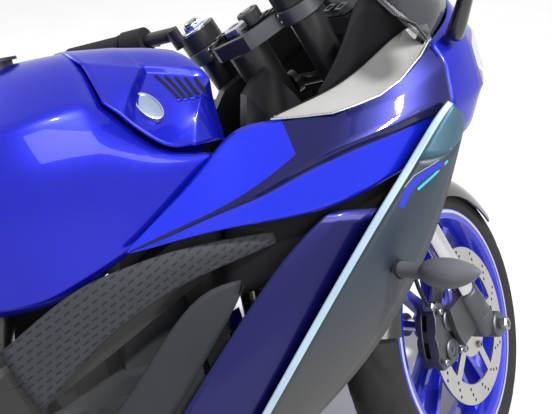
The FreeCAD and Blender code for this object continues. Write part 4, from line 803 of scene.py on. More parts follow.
def surface_of(*pieces):
    """The finished surface of pieces, in the upright bike's millimetres."""
    upright = PARKED.inverted()
    points, faces = [], []
    for made in pieces:
        shape = made.evaluated_get(bpy.context.evaluated_depsgraph_get())
        mesh = shape.to_mesh()
        base = len(points)
        points += [upright @ v.co for v in mesh.vertices]
        faces += [tuple(base + i for i in polygon.vertices) for polygon in mesh.polygons]
        shape.to_mesh_clear()
    return BVHTree.FromPolygons(points, faces)


def vents(surface):
    """Five slanted slots in the cover's recess, black patches laid on it as painted shade, each
    with a lip at its lower end.
    """
    inward = Vector((-0.26, 0.67, -0.70))
    slots, lips = Form(), Form()
    for step in range(5):
        share = step / 4
        top = Vector((221, -73, 874)).lerp(Vector((270, -68, 861)), share)
        low = Vector((236, -95, 852)).lerp(Vector((271, -87, 844)), share)
        along = (low - top).normalized()
        across = along.cross(inward).normalized()
        rows = []
        for share in range(-6, 31):
            share = share / 24
            beyond = max(-share, share - 1, 0) * 4
            wide = 2.7 * math.sqrt(max(0.05, 1 - beyond ** 2))
            middle = top.lerp(low, share)
            rows.append([laid(surface, middle + across * wide * part, inward)
                         for part in (-1, -0.5, 0, 0.5, 1)])
        slots.grid(rows)
        lip = [laid(surface, low + along * (4.4 + 2.4 * math.cos(a)) + across * 4 * math.sin(a),
                    inward, 0.6) for a in (math.radians(d) for d in range(-70, 71, 20))]
        lips.tube(lip, 1.5, 8)
    # The slots are black patches on the surface, painted shade for their depth.
    both("cover_slots_painted_shade", slots, "black_and_shade", slot="panel_charcoal")
    both("cover_lips", lips, "candy", slot="panel_blue")


def blank_seat(surface):
    """The oval ring on the cover, with a blank face."""
    centre = Vector((193, -117, 850))
    inward = Vector((-0.158, 0.699, -0.698))
    tall = Vector((-14, 26, 28)).normalized()
    wide = tall.cross(inward).normalized()
    rings = []
    for reach_tall, reach_wide, lift in ((24, 15, -5), (23.5, 14.5, 2.4), (21.6, 12.8, 2.8),
                                         (20.8, 12.2, 1.4), (12, 7, 2.0), (0.2, 0.2, 2.3)):
        rings.append([laid(surface, centre, inward, 0) + tall * reach_tall * math.cos(a)
                      + wide * reach_wide * math.sin(a) - inward * (lift + 1.4)
                      for a in turns(40)])
    form = Form().grid(rings[:4], closed=True)
    form.grid(rings[3:], closed=True, mark=1)
    both("blank_seat", form, ["machined_and_highlight", "anodised"], slot="bare_steel", angle=30)


tank()
cover_surface = surface_of(cover())
vents(cover_surface)
blank_seat(cover_surface)


# The side's lines, from the back forward: the top edge, the shoulder's foot, the outermost
# crease, the undercut below it and the low edge. The flank and the nose's cheek share them.
SIDE_LINES = [
    [(118, 157, 684), (168, 152, 716), (214, 146, 744), (257, 138, 776), (296, 124, 799),
     (346, 150, 797), (404, 187, 795), (468, 198, 806), (502, 197, 819), (543, 187, 843),
     (566, 176, 857)],
    [(118, 158, 683), (160, 166, 693), (197, 176, 703), (238, 185, 712), (292, 191, 731),
     (341, 194, 756), (402, 192, 790), (470, 206, 797), (508, 208, 804), (548, 202, 820),
     (572, 198, 826)],
    [(118, 158, 682), (150, 164, 687), (190, 176, 699), (237, 188, 711), (289, 198, 724),
     (345, 212, 750), (406, 220, 762), (474, 224, 772), (510, 223, 780), (545, 220, 786),
     (568, 214, 778)],
    [(118, 157, 681), (150, 163, 685), (190, 174, 696), (237, 184, 708), (290, 191, 714),
     (349, 202, 736), (411, 209, 749), (474, 212, 757), (515, 212, 764), (544, 212, 768),
     (567, 210, 762)],
    [(118, 156, 680), (145, 163, 681), (182, 171, 684), (235, 181, 685), (285, 189, 682),
     (350, 202, 679), (412, 209, 685), (472, 212, 703), (503, 211, 709), (532, 209, 713),
     (560, 206, 716)]]


def banded(lines, dark):
    """A grid over lines; dark gives, for a band, the column where its shade begins."""
    wide = len(lines[0]) - 1
    form = Form().grid(right_side(lines), sharp_rows=range(len(lines)), sharp_columns=(0, wide))
    form.marks = [int(j >= dark.get(i, wide)) for i in range(len(lines) - 1)
                  for j in range(wide)]
    return form


def flank():
    """The front side panel: a lit shoulder and lower facet in painted light, the wedge and cheek in
    painted shade.
    """
    form = banded(SIDE_LINES, {0: 5, 1: 0, 2: 0})
    # The lit bands take the lighter copy of the paint as painted light, the others the darker copy
    # as painted shade.
    both("side_skin", form, ["candy_lit", "candy_painted_shade"],
         replaces=["side_fairings", "nose_cowl"], slot="panel_blue", wall=WALL, levels=3)
    inner = [
        [(70, 182, 384), (136, 192, 465), (219, 192, 547), (303, 191, 628), (375, 194, 673)],
        [(96, 187, 372), (164, 197, 449), (246, 198, 535), (328, 198, 614), (400, 200, 670)],
        [(180, 200, 326), (256, 208, 398), (330, 208, 484), (404, 207, 568), (470, 206, 656)]]
    form = Form().grid(right_side(inner), sharp_rows=(0, 1, 2), sharp_columns=(0, 4))
    # The inner panel takes the darker copy of the paint, as painted shade.
    both("inner_panel", form, "candy_painted_shade", replaces=["side_fairings"],
         slot="panel_blue", wall=WALL, levels=2)


def nose():
    """The nose: the brow under the screen, the lamps' windows and the chin."""
    front = [
        [(566, 176, 857), (604, 158, 874), (636, 136, 890), (664, 92, 911), (690, 42, 923),
         (696, 0, 927)],
        [(572, 198, 826), (614, 184, 834), (650, 160, 843), (696, 110, 859), (732, 44, 869),
         (742, 0, 871)],
        [(568, 214, 778), (612, 198, 779), (652, 178, 784), (706, 120, 796), (744, 44, 796),
         (752, 0, 792)],
        [(560, 206, 716), (602, 190, 726), (640, 172, 738), (690, 112, 756), (716, 44, 764),
         (722, 0, 764)]]
    form = Form().grid(right_side(front), sharp_rows=(0, 1, 2, 3), sharp_columns=(0,),
                       skip=[(1, 2), (1, 3)])
    both("nose_front", form, "candy", replaces=["nose_cowl"],
         slot="panel_blue", wall=WALL, levels=2)


def wing():
    """The tall matt wing: a pale bevel up its rear edge, the face, and the folded top painted paler
    as painted light.
    """
    rear = [(158, 214, 350), (230, 215, 433), (298, 218, 513), (367, 221, 593), (436, 223, 669),
            (472, 224, 706), (490, 224, 725), (534, 224, 772), (554, 224, 785)]
    bevel = [(162, 219, 347), (237, 221, 429), (305, 224, 509), (374, 227, 589), (443, 229, 665),
             (478, 230, 701), (496, 230, 720), (539, 230, 767), (559, 228, 780)]
    face = [(176, 224, 340), (270, 228, 420), (338, 231, 494), (406, 234, 570), (470, 236, 640),
            (498, 238, 672), (530, 240, 714), (558, 234, 745), (571, 230, 766)]
    edge = [(196, 214, 330), (311, 216, 396), (400, 216, 452), (465, 217, 520), (512, 218, 588),
            (546, 220, 655), (573, 223, 730), (577, 224, 744), (579, 224, 755)]
    form = Form()
    form.grid(right_side([rear, bevel]), sharp_rows=(0, 1), mark=1)
    form.grid(right_side([line[:7] for line in (bevel, face, edge)]), sharp_rows=(0, 2),
              sharp_columns=(0, 6))
    # The folded top takes the paler copy of the slate, as painted light.
    form.grid(right_side([line[6:] for line in (bevel, face, edge)]), sharp_rows=(0, 2),
              sharp_columns=(0, 2), mark=2)
    return both("wing_face", form, ["slate", "slate_edge", "slate_lit"],
                replaces=["wing_panels"], slot="panel_slate", wall=WALL, levels=2)


def frame_cover():
    """The dimpled cover over the frame's side, tapering to the front."""
    top = [(-51, 150, 602), (30, 154, 647), (72, 155, 659), (114, 156, 664), (160, 158, 668),
           (207, 159, 667), (260, 161, 662), (307, 163, 656)]
    middle = [(-42, 157, 560), (40, 162, 615), (85, 164, 634), (124, 166, 643), (168, 167, 650),
              (212, 168, 652), (262, 168, 650), (308, 168, 646)]
    low = [(-29, 158, 514), (59, 160, 577), (96, 162, 594), (129, 163, 608), (168, 164, 620),
           (199, 165, 627), (256, 166, 634), (306, 166, 640)]
    panel("dimpled_cover", [low, middle, top], "cover_grey", "panel_charcoal",
          ["frame_covers"], levels=3)


def lower_panel():
    """The grained blade below the frame's cover."""
    rows = [
        [(-20, 166, 430), (62, 170, 481), (128, 172, 556), (193, 172, 612), (248, 174, 608)],
        [(20, 170, 420), (96, 174, 470), (150, 176, 530), (206, 176, 572), (236, 177, 582)],
        [(60, 170, 400), (131, 176, 455), (188, 176, 527), (226, 177, 566), (250, 177, 600)]]
    panel("side_panel", rows, "side_grey", "panel_charcoal", ["lower_side_panels"])


def screen():
    """The smoked screen, in rows up from its base."""
    rows = [
        [(566, 174, 859), (634, 136, 893), (662, 92, 914), (688, 42, 926), (694, 0, 930)],
        [(530, 152, 900), (574, 120, 952), (600, 82, 980), (618, 40, 996), (622, 0, 1000)],
        [(498, 126, 950), (522, 98, 1008), (542, 66, 1032), (554, 32, 1044), (558, 0, 1048)],
        [(474, 92, 1006), (476, 68, 1054), (480, 46, 1072), (484, 22, 1082), (486, 0, 1086)]]
    form = Form().grid([whole(row) for row in right_side(rows)], sharp_rows=(0,),
                       sharp_columns=(0, 8))
    piece("screen_shell", form, "smoke", replaces=["windscreen"], slot="screen",
          wall=WALL, levels=2)


flank()
nose()
wing_surface = surface_of(wing())
frame_cover()
lower_panel()
screen()


def winkers():
    """Teardrop pods on stalks with a rubber ring, and their amber lenses."""
    form = Form()
    form.tube([(446, -226, 579), (452, -246, 582), (460, -268, 586), (466, -280, 588)],
              [12.5, 11, 11, 12], 24)
    form.tube([(448.5, -234, 580), (449.5, -237, 580.5), (450.5, -240, 581)],
              [12.6, 13.6, 12.6], 24, mark=1)
    form.tube([(460, -268, 586), (464, -278, 587), (471, -294, 589), (480, -312, 592),
               (488, -328, 596), (495, -341, 600)], [10, 17, 20.5, 19.5, 13, 3], 28)
    both("front_winker", form, ["pod_grey", "rubber"], replaces=["winkers"],
         slot="winker_body", levels=2)
    rear = Form()
    rear.tube([(-952, -38, 698), (-952, -70, 697), (-952, -100, 696)], [8, 8, 9], 16, mark=1)
    rear.tube([(-952, -96, 696), (-953, -110, 697), (-954, -130, 698), (-955, -148, 698),
               (-956, -159, 698)], [10, 15.4, 15.8, 12, 4], 24)
    both("rear_winker", rear, ["pod_grey", "rubber"], replaces=["winkers"],
         slot="winker_body", levels=2)
    lens = Form().tube([(485, -299, 594), (488, -311, 597), (493, -324, 601)], [3, 8, 3], 16)
    both("winker_lens", lens, "amber_lens", slot="lamp_lens", levels=1)


winkers()


def seat(name, table, node, crown):
    """A padded seat: a crowned cover over a base, from cross sections along the bike."""
    rows = []
    for x, top, half, edge, low_half, floor in table:
        rows.append(whole([
            (x, -low_half, floor), (x, -half, (edge + floor) / 2 + 4), (x, -half, edge),
            (x, -half * 0.75, top - crown), (x, -half * 0.4, top), (x, 0, top - 2)]))
    form = Form().grid(rows, sharp_columns=(0, 10))
    form.ends(rows)
    return piece(name, form, "seat", replaces=[node], slot="seat_cover", levels=2, padded=0.8)


seat("rider_seat_cover", [
    (-174, 806, 72, 778, 68, 732), (-205, 797, 88, 768, 80, 726), (-250, 786, 103, 762, 92, 722),
    (-300, 782, 118, 764, 98, 736), (-350, 786, 127, 774, 100, 762),
    (-400, 798, 120, 788, 94, 776), (-451, 815, 103, 806, 84, 798)], "rider_seat", 5)
seat("pillion_seat_cover", [
    (-461, 860, 86, 844, 80, 803), (-500, 878, 92, 862, 82, 818), (-560, 896, 91, 878, 80, 838),
    (-630, 908, 84, 892, 72, 858), (-700, 914, 73, 902, 62, 878),
    (-771, 918, 52, 908, 44, 897)], "pillion_seat", 4)


def hose():
    """The brake hose, from the caliper round the leg and up to the lower clamp."""
    start = beside(FRONT_AXLE, 176, 34, -76)
    points = [start, start + Vector((-30, 0, 60)), on_axis(AXLE_UP + 270, -14, -FORK_Y + 2),
              on_axis(700, -8, -36), on_axis(790, -8, -36)]
    curve = bpy.data.curves.new("brake_line", "CURVE")
    curve.dimensions = "3D"
    curve.bevel_depth = 3.5 * MM
    curve.bevel_resolution = 4
    curve.resolution_u = 24
    line = curve.splines.new("NURBS")
    line.points.add(len(points) - 1)
    for spot, point in zip(line.points, points):
        spot.co = (*(PLACES["steering"] @ point), 1)
    line.order_u = 3
    line.use_endpoint_u = True
    curve.materials.append(finishes["rubber"])
    made = bpy.data.objects.new("brake_line", curve)
    bpy.context.scene.collection.objects.link(made)
    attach(made, "steering")
    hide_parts("brake_hose")


hose()


def stripes():
    """Two plain stripes and a fine line on the wing's face: finish, width and (x, z)."""
    lines = [("stripe_blue", 9.0, [(462, 664), (474, 682), (489, 694), (513, 704), (530, 708)]),
             ("stripe_cyan", 3.6, [(489, 682), (515, 695), (541, 708)]),
             ("winker_grey", 1.0, [(471, 689), (486, 701), (520, 712), (548, 724)])]
    for finish, wide, line in lines:
        rows = []
        for i, (x, z) in enumerate(line):
            ahead = Vector(line[min(i + 1, len(line) - 1)]) - Vector(line[max(i - 1, 0)])
            across = Vector((-ahead.y, ahead.x)).normalized()
            row = []
            for share in (-1, -0.5, 0, 0.5, 1):
                spot = Vector((x, z)) + across * wide / 2 * share
                row.append(laid(wing_surface, (spot.x, -280, spot.y), (0, 1, 0)))
            rows.append(row)
        both("wing_line_" + finish, Form().grid(rows), finish, slot="panel_slate")


def edge_trim():
    """The lip between the cheek and the cockpit in bright metal as a painted highlight, and the
    black lip up the screen's sides.
    """
    line = [(336, -144, 799), (372, -166, 797), (404, -188, 797), (436, -193, 801),
            (468, -198, 807), (502, -197, 820), (543, -187, 844), (566, -176, 860)]
    # The cheek's lip is bright metal as a painted highlight on a gloss black edge.
    both("cheek_lip_painted_highlight", Form().tube(line, 1.6, 10), "machined_and_highlight", slot="panel_black")
    line = [(566, -174, 862), (556, -164, 884), (530, -152, 901), (511, -138, 928),
            (497, -126, 951), (484, -108, 982), (475, -92, 1006)]
    both("screen_lip", Form().tube(line, 2.0, 10), "black_gloss", slot="panel_black")


def cockpit():
    """The matt lining inside the cheek, pale grey as painted light, its black edge and the black
    base of the screen.
    """
    rows = [
        [(338, 142, 796), (376, 164, 793), (404, 184, 793), (436, 189, 797), (468, 194, 803),
         (502, 193, 816), (543, 183, 839), (562, 173, 854)],
        [(342, 138, 799), (376, 152, 801), (406, 162, 804), (438, 164, 810), (472, 162, 820),
         (508, 158, 836), (540, 150, 856), (560, 144, 866)],
        [(346, 134, 802), (378, 137, 809), (408, 140, 816), (440, 140, 824), (474, 138, 838),
         (508, 134, 856), (540, 130, 872), (562, 128, 880)],
        [(346, 134, 770), (378, 137, 766), (408, 139, 764), (440, 139, 764), (474, 138, 768),
         (508, 134, 776), (540, 130, 786), (562, 128, 796)]]
    form = Form()
    form.grid(right_side(rows[:3]), sharp_rows=(0, 2), sharp_columns=(0, 7))
    form.grid(right_side(rows[2:]), sharp_rows=(0, 1), sharp_columns=(0, 7), mark=1)
    # The lining's pale grey is painted light on what is a dark moulding.
    both("cockpit_lining", form, ["cockpit_painted_light", "black_and_shade"],
         replaces=["cockpit_panels"], slot="panel_black", wall=WALL, levels=2)
    low = [(408, 140, 812), (430, 140, 818), (452, 139, 826), (480, 137, 838), (514, 133, 856),
           (560, 128, 878)]
    high = [(412, 143, 822), (438, 143, 850), (464, 141, 888), (492, 130, 936), (510, 137, 922),
            (550, 160, 884)]
    panel("screen_base", [low, high], "black_and_shade", "panel_black", wall=2)


def duct():
    """Black walls behind the flank's gap and behind the lamps, as painted shade for the dark
    insides.
    """
    rows = [
        [(250, 150, 690), (310, 168, 692), (370, 184, 694), (430, 192, 700), (500, 192, 716)],
        [(240, 146, 640), (300, 160, 640), (362, 176, 640), (430, 184, 640), (508, 186, 660)],
        [(232, 144, 570), (290, 156, 580), (350, 172, 590), (420, 180, 600), (486, 182, 610)]]
    # A black sheet standing in for the shaded inside: painted shade.
    panel("duct_wall_painted_shade", rows, "black_and_shade", "panel_black", wall=2)
    back = [[(x + 30 * (1 - (y / 130) ** 2), y, z) for y in (-128, -90, -40, 0, 40, 90, 128)]
            for x, z in ((566, 862), (574, 830), (578, 790), (568, 748))]
    piece("lamp_back_painted_shade", Form().grid(back), "black_and_shade", slot="panel_black", levels=2)


def fork_caps():
    """Adjusters and rings on the fork's tops, with the nut and the lock between them."""
    form = Form()
    for side in (-1, 1):
        top = on_axis(FORK_TOP, FORK_OFFSET, side * FORK_Y)
        form.turned(top, STEER_UP, [(25.6, -3), (25.6, 0.8), (24, 1.6), (19, 1.6), (18, 0.4)], 48,
                    mark=1)
        form.turned(top, STEER_UP, [(17.4, 0), (17.4, 6), (15.6, 9.6), (12, 9.8)], 6)
        form.turned(top, STEER_UP, [(11.6, 9.6), (11.6, 12.8), (9.8, 14), (0.1, 14)], 24, mark=2)
    middle = on_axis(1012)
    form.turned(middle, STEER_UP, [(19.6, -8), (19.6, -1), (18, 0.6), (9.4, 0.6), (9, -6)], 6,
                mark=1)
    lock = on_axis(1002, 44)
    form.turned(lock, STEER_UP, [(18, -6), (18, 12), (16.4, 14), (12, 14.4), (11.4, 12),
                                 (0.1, 12)], 36, mark=3)
    form.turned(lock, STEER_UP, [(8, 12), (8, 14.6), (0.1, 14.8)], 24, mark=2)
    piece("fork_caps", form, ["anodised", "machined_and_highlight", "bolt_steel", "casting"], "steering",
          slot="bare_steel", angle=30)


def bar_end(side):
    """A handlebar's tip, and the way that it points."""
    root = on_axis(BAR_UP, FORK_OFFSET - BAR_BACK, side * (FORK_Y + 21))
    tip = root + Vector((-62, side * 212, 30))
    return tip, (tip - root).normalized()


def grips():
    """Ribbed rubber sleeves, end weights and the master cylinder's lid."""
    sleeves, weights = Form(), Form()
    for side in (-1, 1):
        tip, way = bar_end(side)
        profile = [(17.0, -121), (19.0, -120.5), (19.4, -117), (18.0, -115.5)]
        for rib in range(26):
            place = -114 + rib * 4
            profile += [(18.0, place), (17.2, place + 1.2), (17.2, place + 2.2),
                        (18.0, place + 3.2)]
        profile += [(18.0, -9), (17.0, -7.6)]
        sleeves.turned(tip, way, profile, 40)
        weights.turned(tip, way, [(15.2, -2), (15.4, 0), (15.4, 18), (13.2, 24.2), (5, 24.4),
                                  (4.4, 20), (0.1, 20)], 36)
    piece("bar_grips", sleeves, "rubber", "steering", slot="rubber_black", angle=25)
    piece("bar_weights", weights, "casting", "steering", slot="bare_steel", angle=30)
    tip, way = bar_end(-1)
    base = tip - way * 146 + Vector((20, 0, 34))
    lid = Form().turned(base, (0, 0, 1), [(17.4, -4), (18.2, -1), (17.6, 2), (6, 2.6),
                                          (0.1, 2.6)], 32)
    for angle in (45, 135, 225, 315):
        a = math.radians(angle)
        lid.turned(base + Vector((12.5 * math.cos(a), 12.5 * math.sin(a), 2)), (0, 0, 1),
                   [(2.4, 0), (2.4, 1.4), (1.2, 1.6), (0.1, 1)], 10, mark=1)
    piece("reservoir_lid", lid, ["black_gloss", "bolt_steel"], "steering", slot="rubber_black")


def chain():
    """Separate links round both sprockets: plates in two rows a side and their rollers."""
    rear, front = Vector((REAR_AXLE.x, REAR_AXLE.z)), Vector((-72, 400))
    big, small = 108, 36
    gap = rear - front
    slope = math.atan2(-gap.y, -gap.x)
    lift = math.acos((big - small) / gap.length)

    def around(angle):
        return Vector((math.cos(angle), math.sin(angle)))

    run = math.sqrt(gap.length ** 2 - (big - small) ** 2)
    arc_front, arc_rear = small * 2 * lift, big * (2 * math.pi - 2 * lift)
    loop = 2 * run + arc_front + arc_rear

    def at(s):
        s %= loop
        upper, lower = around(slope + lift), around(slope - lift)
        if s < run:
            return (rear + upper * big).lerp(front + upper * small, s / run)
        s -= run
        if s < arc_front:
            return front + around(slope + lift - s / small) * small
        s -= arc_front
        if s < run:
            return (front + lower * small).lerp(rear + lower * big, s / run)
        return rear + around(slope - lift - (s - run) / big) * big

    count = round(loop / LINK_PITCH)
    pitch = loop / count
    form = Form()
    for link in range(count):
        a, b = at(link * pitch), at((link + 1) * pitch)
        along = (b - a).normalized()
        across = Vector((-along.y, along.x))
        outline = []
        for centre, first in ((a, 90), (b, -90)):
            for step in range(7):
                t = math.radians(first + step * 30)
                outline.append(centre + (along * math.cos(t) + across * math.sin(t)) * 5.6)
        outline.insert(7, (a + b) / 2 - across * 4.2)
        outline.append((a + b) / 2 + across * 4.2)
        outline = [(p.x, p.y) for p in outline]
        inner = 4.6 if link % 2 else 6.6
        for y in (CHAIN_Y + inner, CHAIN_Y - inner - 1.8):
            form.plate(outline, y, y + 1.8)
        pin = (a.x, CHAIN_Y, a.y)
        form.turned(pin, (0, 1, 0), [(4.8, -4.4), (4.8, 4.4)], 12, mark=1)
        form.turned(pin, (0, 1, 0), [(0.1, -9), (2.4, -9), (2.4, 9), (0.1, 9)], 8, mark=1)
    piece("chain_links", form, ["chain_steel", "bolt_steel"],
          replaces=["drive_chain"], slot="bare_steel", angle=30)


def shock():
    """The rear shock: a coil spring between its seats round the damper."""
    low, high = Vector((-230, 0, 433)), Vector((-70, 0, 534))
    way = (high - low).normalized()
    side = way.orthogonal().normalized()
    other = way.cross(side)
    length = (high - low).length - 16.5
    form = Form().turned(low, way, [(12, 0), (12, 6), (26, 8), (26, 12), (13, 13), (13, 44),
                                    (9, 45), (9, length - 24), (13, length - 23), (26, length - 20),
                                    (26, length - 15), (12, length - 14), (12, length)], 36)
    form.turned(low, (0, 1, 0), [(11.6, -15), (11.6, 15), (7, 15), (7, -15), (11.6, -15)], 32)
    first, last, rounds = 16.5, length - 24, 5.5
    coil = []
    for step in range(int(rounds * 24) + 1):
        share = step / (rounds * 24)
        a = 2 * math.pi * rounds * share
        coil.append(low + way * (first + (last - first) * share) + spoke(side, other, a, 22))
    form.tube(coil, 4.4, 10, mark=1)
    piece("shock_spring", form, ["casting", "wheel_blue"], replaces=["rear_shock"],
          slot="black_metal", angle=30)


def lamps():
    """Behind each clear lens a bowl with its projector, and a strip of small lamps."""
    form = Form()
    for x, y, z, reach in ((690, -84, 822, 22), (662, -124, 816, 17)):
        centre, way = Vector((x, y, z)), Vector((0.93, -0.34, 0.05))
        form.turned(centre, way, [(reach, 0), (reach * 0.92, -6), (reach * 0.6, -16), (2, -20)], 32,
                    mark=0)
        form.turned(centre, way, [(reach * 0.7, -8), (reach * 0.66, -2), (reach * 0.4, 3),
                                  (0.1, 5)], 32, mark=1)
        form.turned(centre, way, [(reach + 1.5, -2), (reach + 1.5, 1), (reach, 1.5),
                                  (reach, -2)], 32, mark=2)
    both("lamp_bowl", form, ["mirror_glass", "lens", "machined_and_highlight"], slot="lamp_lens")


def instruments():
    """A display behind dark glass with its bezel and two buttons."""
    turn = Matrix.Translation(Vector((500, 0, 906))) @ Matrix.Rotation(math.radians(60), 4, "Y")

    def face(points, depth):
        return [turn @ Vector((depth, y, z)) for y, z in points]

    def patch(y, z, wide, tall):
        corners = [(y, z), (y + wide, z), (y + wide, z + tall), (y, z + tall)]
        bars.add(face(corners, -1.0), [(0, 1, 2, 3)])

    form = Form()
    outer, inner = rounded(79, 1, 83, 14), rounded(71, 9, 75, 9)
    form.grid([face(outer, -0.2), face(outer, -2.6), face(inner, -2.6), face(inner, -0.4)],
              closed=True)
    form.add(face(inner, -0.8), [tuple(range(len(inner)))], mark=1)
    for y in (-58, 58):
        form.turned(turn @ Vector((-2.4, y, 5.2)), turn.to_3x3() @ Vector((-1, 0, 0)),
                    [(3.4, -0.5), (3.4, 1), (2.6, 1.6), (0.1, 1.6)], 16, mark=2)
    bars = Form()
    for step in range(14):
        patch(-52 + step * 8, 56 + 6 * math.sin(step / 13 * math.pi), 5.6, 6)
    for y in (-34, 4):
        for aside, wide, z, tall in ((0, 20, 20, 3), (0, 20, 34, 3), (0, 3, 20, 17),
                                     (17, 3, 20, 17)):
            patch(y + aside, z, wide, tall)
    piece("display_bezel", form, ["black_gloss", "display", "rubber"],
          slot="panel_black", angle=30)
    piece("display_marks", bars, "winker_grey", slot="panel_black")


def mirror_forms():
    """Rounded housings on bent stalks, with the glass set into their rear face."""
    rows = []
    for y, share in ((248, 0.62), (254, 0.86), (282, 1.0), (330, 1.0), (358, 0.86), (363.5, 0.6)):
        middle = Vector((589, 1074))
        outline = [(574, 1040), (586, 1038), (600, 1040), (609, 1056), (610.5, 1074), (607, 1096),
                   (601, 1108), (588, 1112), (578, 1112), (573, 1094), (572.4, 1074), (572.8, 1056)]
        rows.append([(middle.x + (x - middle.x) * share, -y, middle.y + (z - middle.y) * share)
                     for x, z in outline])
    form = Form().grid(rows, closed=True, sharp_columns=(0, 8))
    form.ends(rows)
    form.tube([(608, -172, 856), (608, -184, 870), (604, -218, 926), (600, -256, 996),
               (596, -276, 1032), (594, -284, 1050)], [15, 12, 9, 8.4, 9, 10], 24)
    both("mirror_housing", form, "black_gloss", replaces=["mirrors"],
         slot="panel_black", levels=2)
    glass = Form()
    outline = arcs([(-266, 1098), (-346, 1098), (-346, 1052), (-266, 1052)], 9, 6)
    glass.add([(571.7, y, z) for y, z in outline], [tuple(range(len(outline)))])
    both("mirror_glass", glass, "mirror_glass", slot="panel_black")


def tail_details():
    """The blank plate and its lamp at the back."""
    turn = Matrix.Translation(Vector((-1100, 0, 560))) @ Matrix.Rotation(math.radians(25), 4, "Y")

    def face(points, depth):
        return [turn @ Vector((depth, y, z)) for y, z in points]

    outer, inner = rounded(80, 12, 150, 8), rounded(76, 16, 146, 6)
    form = Form()
    form.grid([face(outer, -0.1), face(outer, -1.1), face(inner, -1.1), face(inner, -0.7)],
              closed=True)
    form.add(face(inner, -0.7), [tuple(range(20))], mark=1)
    piece("blank_plate", form, ["black_gloss", "plate_white"], slot="panel_black", angle=30)
    form = Form().tube([(-1046, -26, 596), (-1052, -26, 594), (-1052, 26, 594), (-1046, 26, 596)],
                       5, 12)
    piece("plate_lamp", form, "charcoal", slot="panel_black")


def seat_seams():
    """Piping along the seats' edges."""
    lines = {"rider_seam": [(-182, 74, 796), (-205, 84, 784), (-250, 98, 774), (-300, 110, 773),
                            (-350, 117, 779), (-400, 111, 791), (-446, 96, 808)],
             "pillion_seam": [(-466, 80, 853), (-500, 85, 868), (-560, 85, 884), (-630, 78, 898),
                              (-700, 68, 907), (-762, 48, 912)]}
    for name, line in lines.items():
        both(name, Form().tube([(x, -y, z) for x, y, z in line], 1.8, 8), "rubber",
             slot="seat_cover")


def silencer():
    """The silencer's heat shield, its end ring and clamp."""
    start, end = Vector((-290, -196, 308)), Vector((-652, -232, 440))
    way = (end - start).normalized()
    form = Form().turned(start, way, [(37.6, 40), (53.5, 44), (53.5, 56), (52.2, 57)], 48)
    form.turned(end, way, [(52.2, -14), (53.4, -13), (53.4, -2), (50, 1), (34.4, 3)], 48)
    form.turned(start, way, [(39, 8), (41, 9), (41, 21), (39, 22)], 48)
    piece("silencer_rings", form, "bolt_steel", slot="exhaust_steel", angle=30)
    rows = []
    outward = Vector((0, -1, 0.25)).normalized()
    outward = (outward - way * outward.dot(way)).normalized()
    upward = way.cross(outward)
    length = (end - start).length
    for share in (0.2, 0.3, 0.5, 0.7, 0.86, 0.94):
        spread = 62 if 0.25 < share < 0.9 else 48
        rows.append([start + way * length * share
                     + spoke(outward, upward, math.radians(spread * step / 6), 56)
                     for step in range(-6, 7)])
    shield = Form().grid(rows, sharp_rows=(0, 5), sharp_columns=(0, 12))
    piece("silencer_shield", shield, "black_gloss", slot="exhaust_steel", wall=2, levels=2)


def engine_details():
    """Rings of bolts on the engine's covers, two cover rings and a filler cap."""
    bolts("clutch_bolts", "chassis", ring_places(70, 380, 66, 8, -142), (0, -1, 0), 5, 4)
    bolts("generator_bolts", "chassis", ring_places(165, 370, 57, 7, 142), (0, 1, 0), 5, 4)
    form = Form().turned((70, -154, 380), (0, -1, 0),
                         [(55, -2), (55, 0.6), (51, 2.4), (46, 2.4), (44, 0.4), (20, 0.4),
                          (18, 1.6), (0.1, 1.6)], 60)
    form.turned((165, 142, 370), (0, 1, 0), [(52, -2), (52, 0.6), (48, 2), (24, 2), (22, 0.6),
                                             (0.1, 0.6)], 60)
    form.turned((12, -98, 440), (0, -1, 0), [(15, -1), (15, 9), (13, 11), (6, 11), (5, 9),
                                             (0.1, 9)], 8, mark=1)
    piece("cover_rings", form, ["casting", "rubber"], slot="dark_casting", angle=30)


def brake_details():
    """Caliper bolts, pistons' caps and the hose's union at the front brake."""
    caps = Form()
    for angle in (6, 28):
        centre = beside(FRONT_AXLE, 132, angle, CALIPER_Y)
        caps.turned(centre, (0, -1, 0), [(19, -2), (19, 1), (17, 3), (13, 3), (12.4, 1.6), (4, 1.6),
                                         (3.4, 3.4), (0.1, 3.4)], 36)
    piece("caliper_caps", caps, "casting", "steering", slot="dark_casting", angle=30)
    places = [beside(FRONT_AXLE, radius, angle, CALIPER_Y)
              for radius, angle in ((165, 2), (165, 32), (104, -1), (104, 35))]
    bolts("caliper_bolts", "steering", places, (0, -1, 0), 5.5, 5)
    union = Form().turned(beside(FRONT_AXLE, 176, 34, -76), (0, -1, 0),
                          [(0.1, -9), (7.4, -9), (7.4, 8), (5.5, 9.6), (0.1, 9.6)], 6)
    piece("hose_union", union, "bolt_steel", "steering", slot="axle_steel", angle=30)
    nut = Form().turned(FRONT_AXLE + Vector((0, -133, 0)), (0, -1, 0),
                        [(13, -2), (13, 5), (11, 7), (7, 7), (6.6, 4), (0.1, 4)], 6)
    piece("axle_nut", nut, "bolt_steel", "steering", slot="axle_steel", angle=30)


stripes()
edge_trim()
cockpit()
duct()
fork_caps()
grips()
chain()
shock()
lamps()
instruments()
mirror_forms()
tail_details()
seat_seams()
silencer()
engine_details()
brake_details()


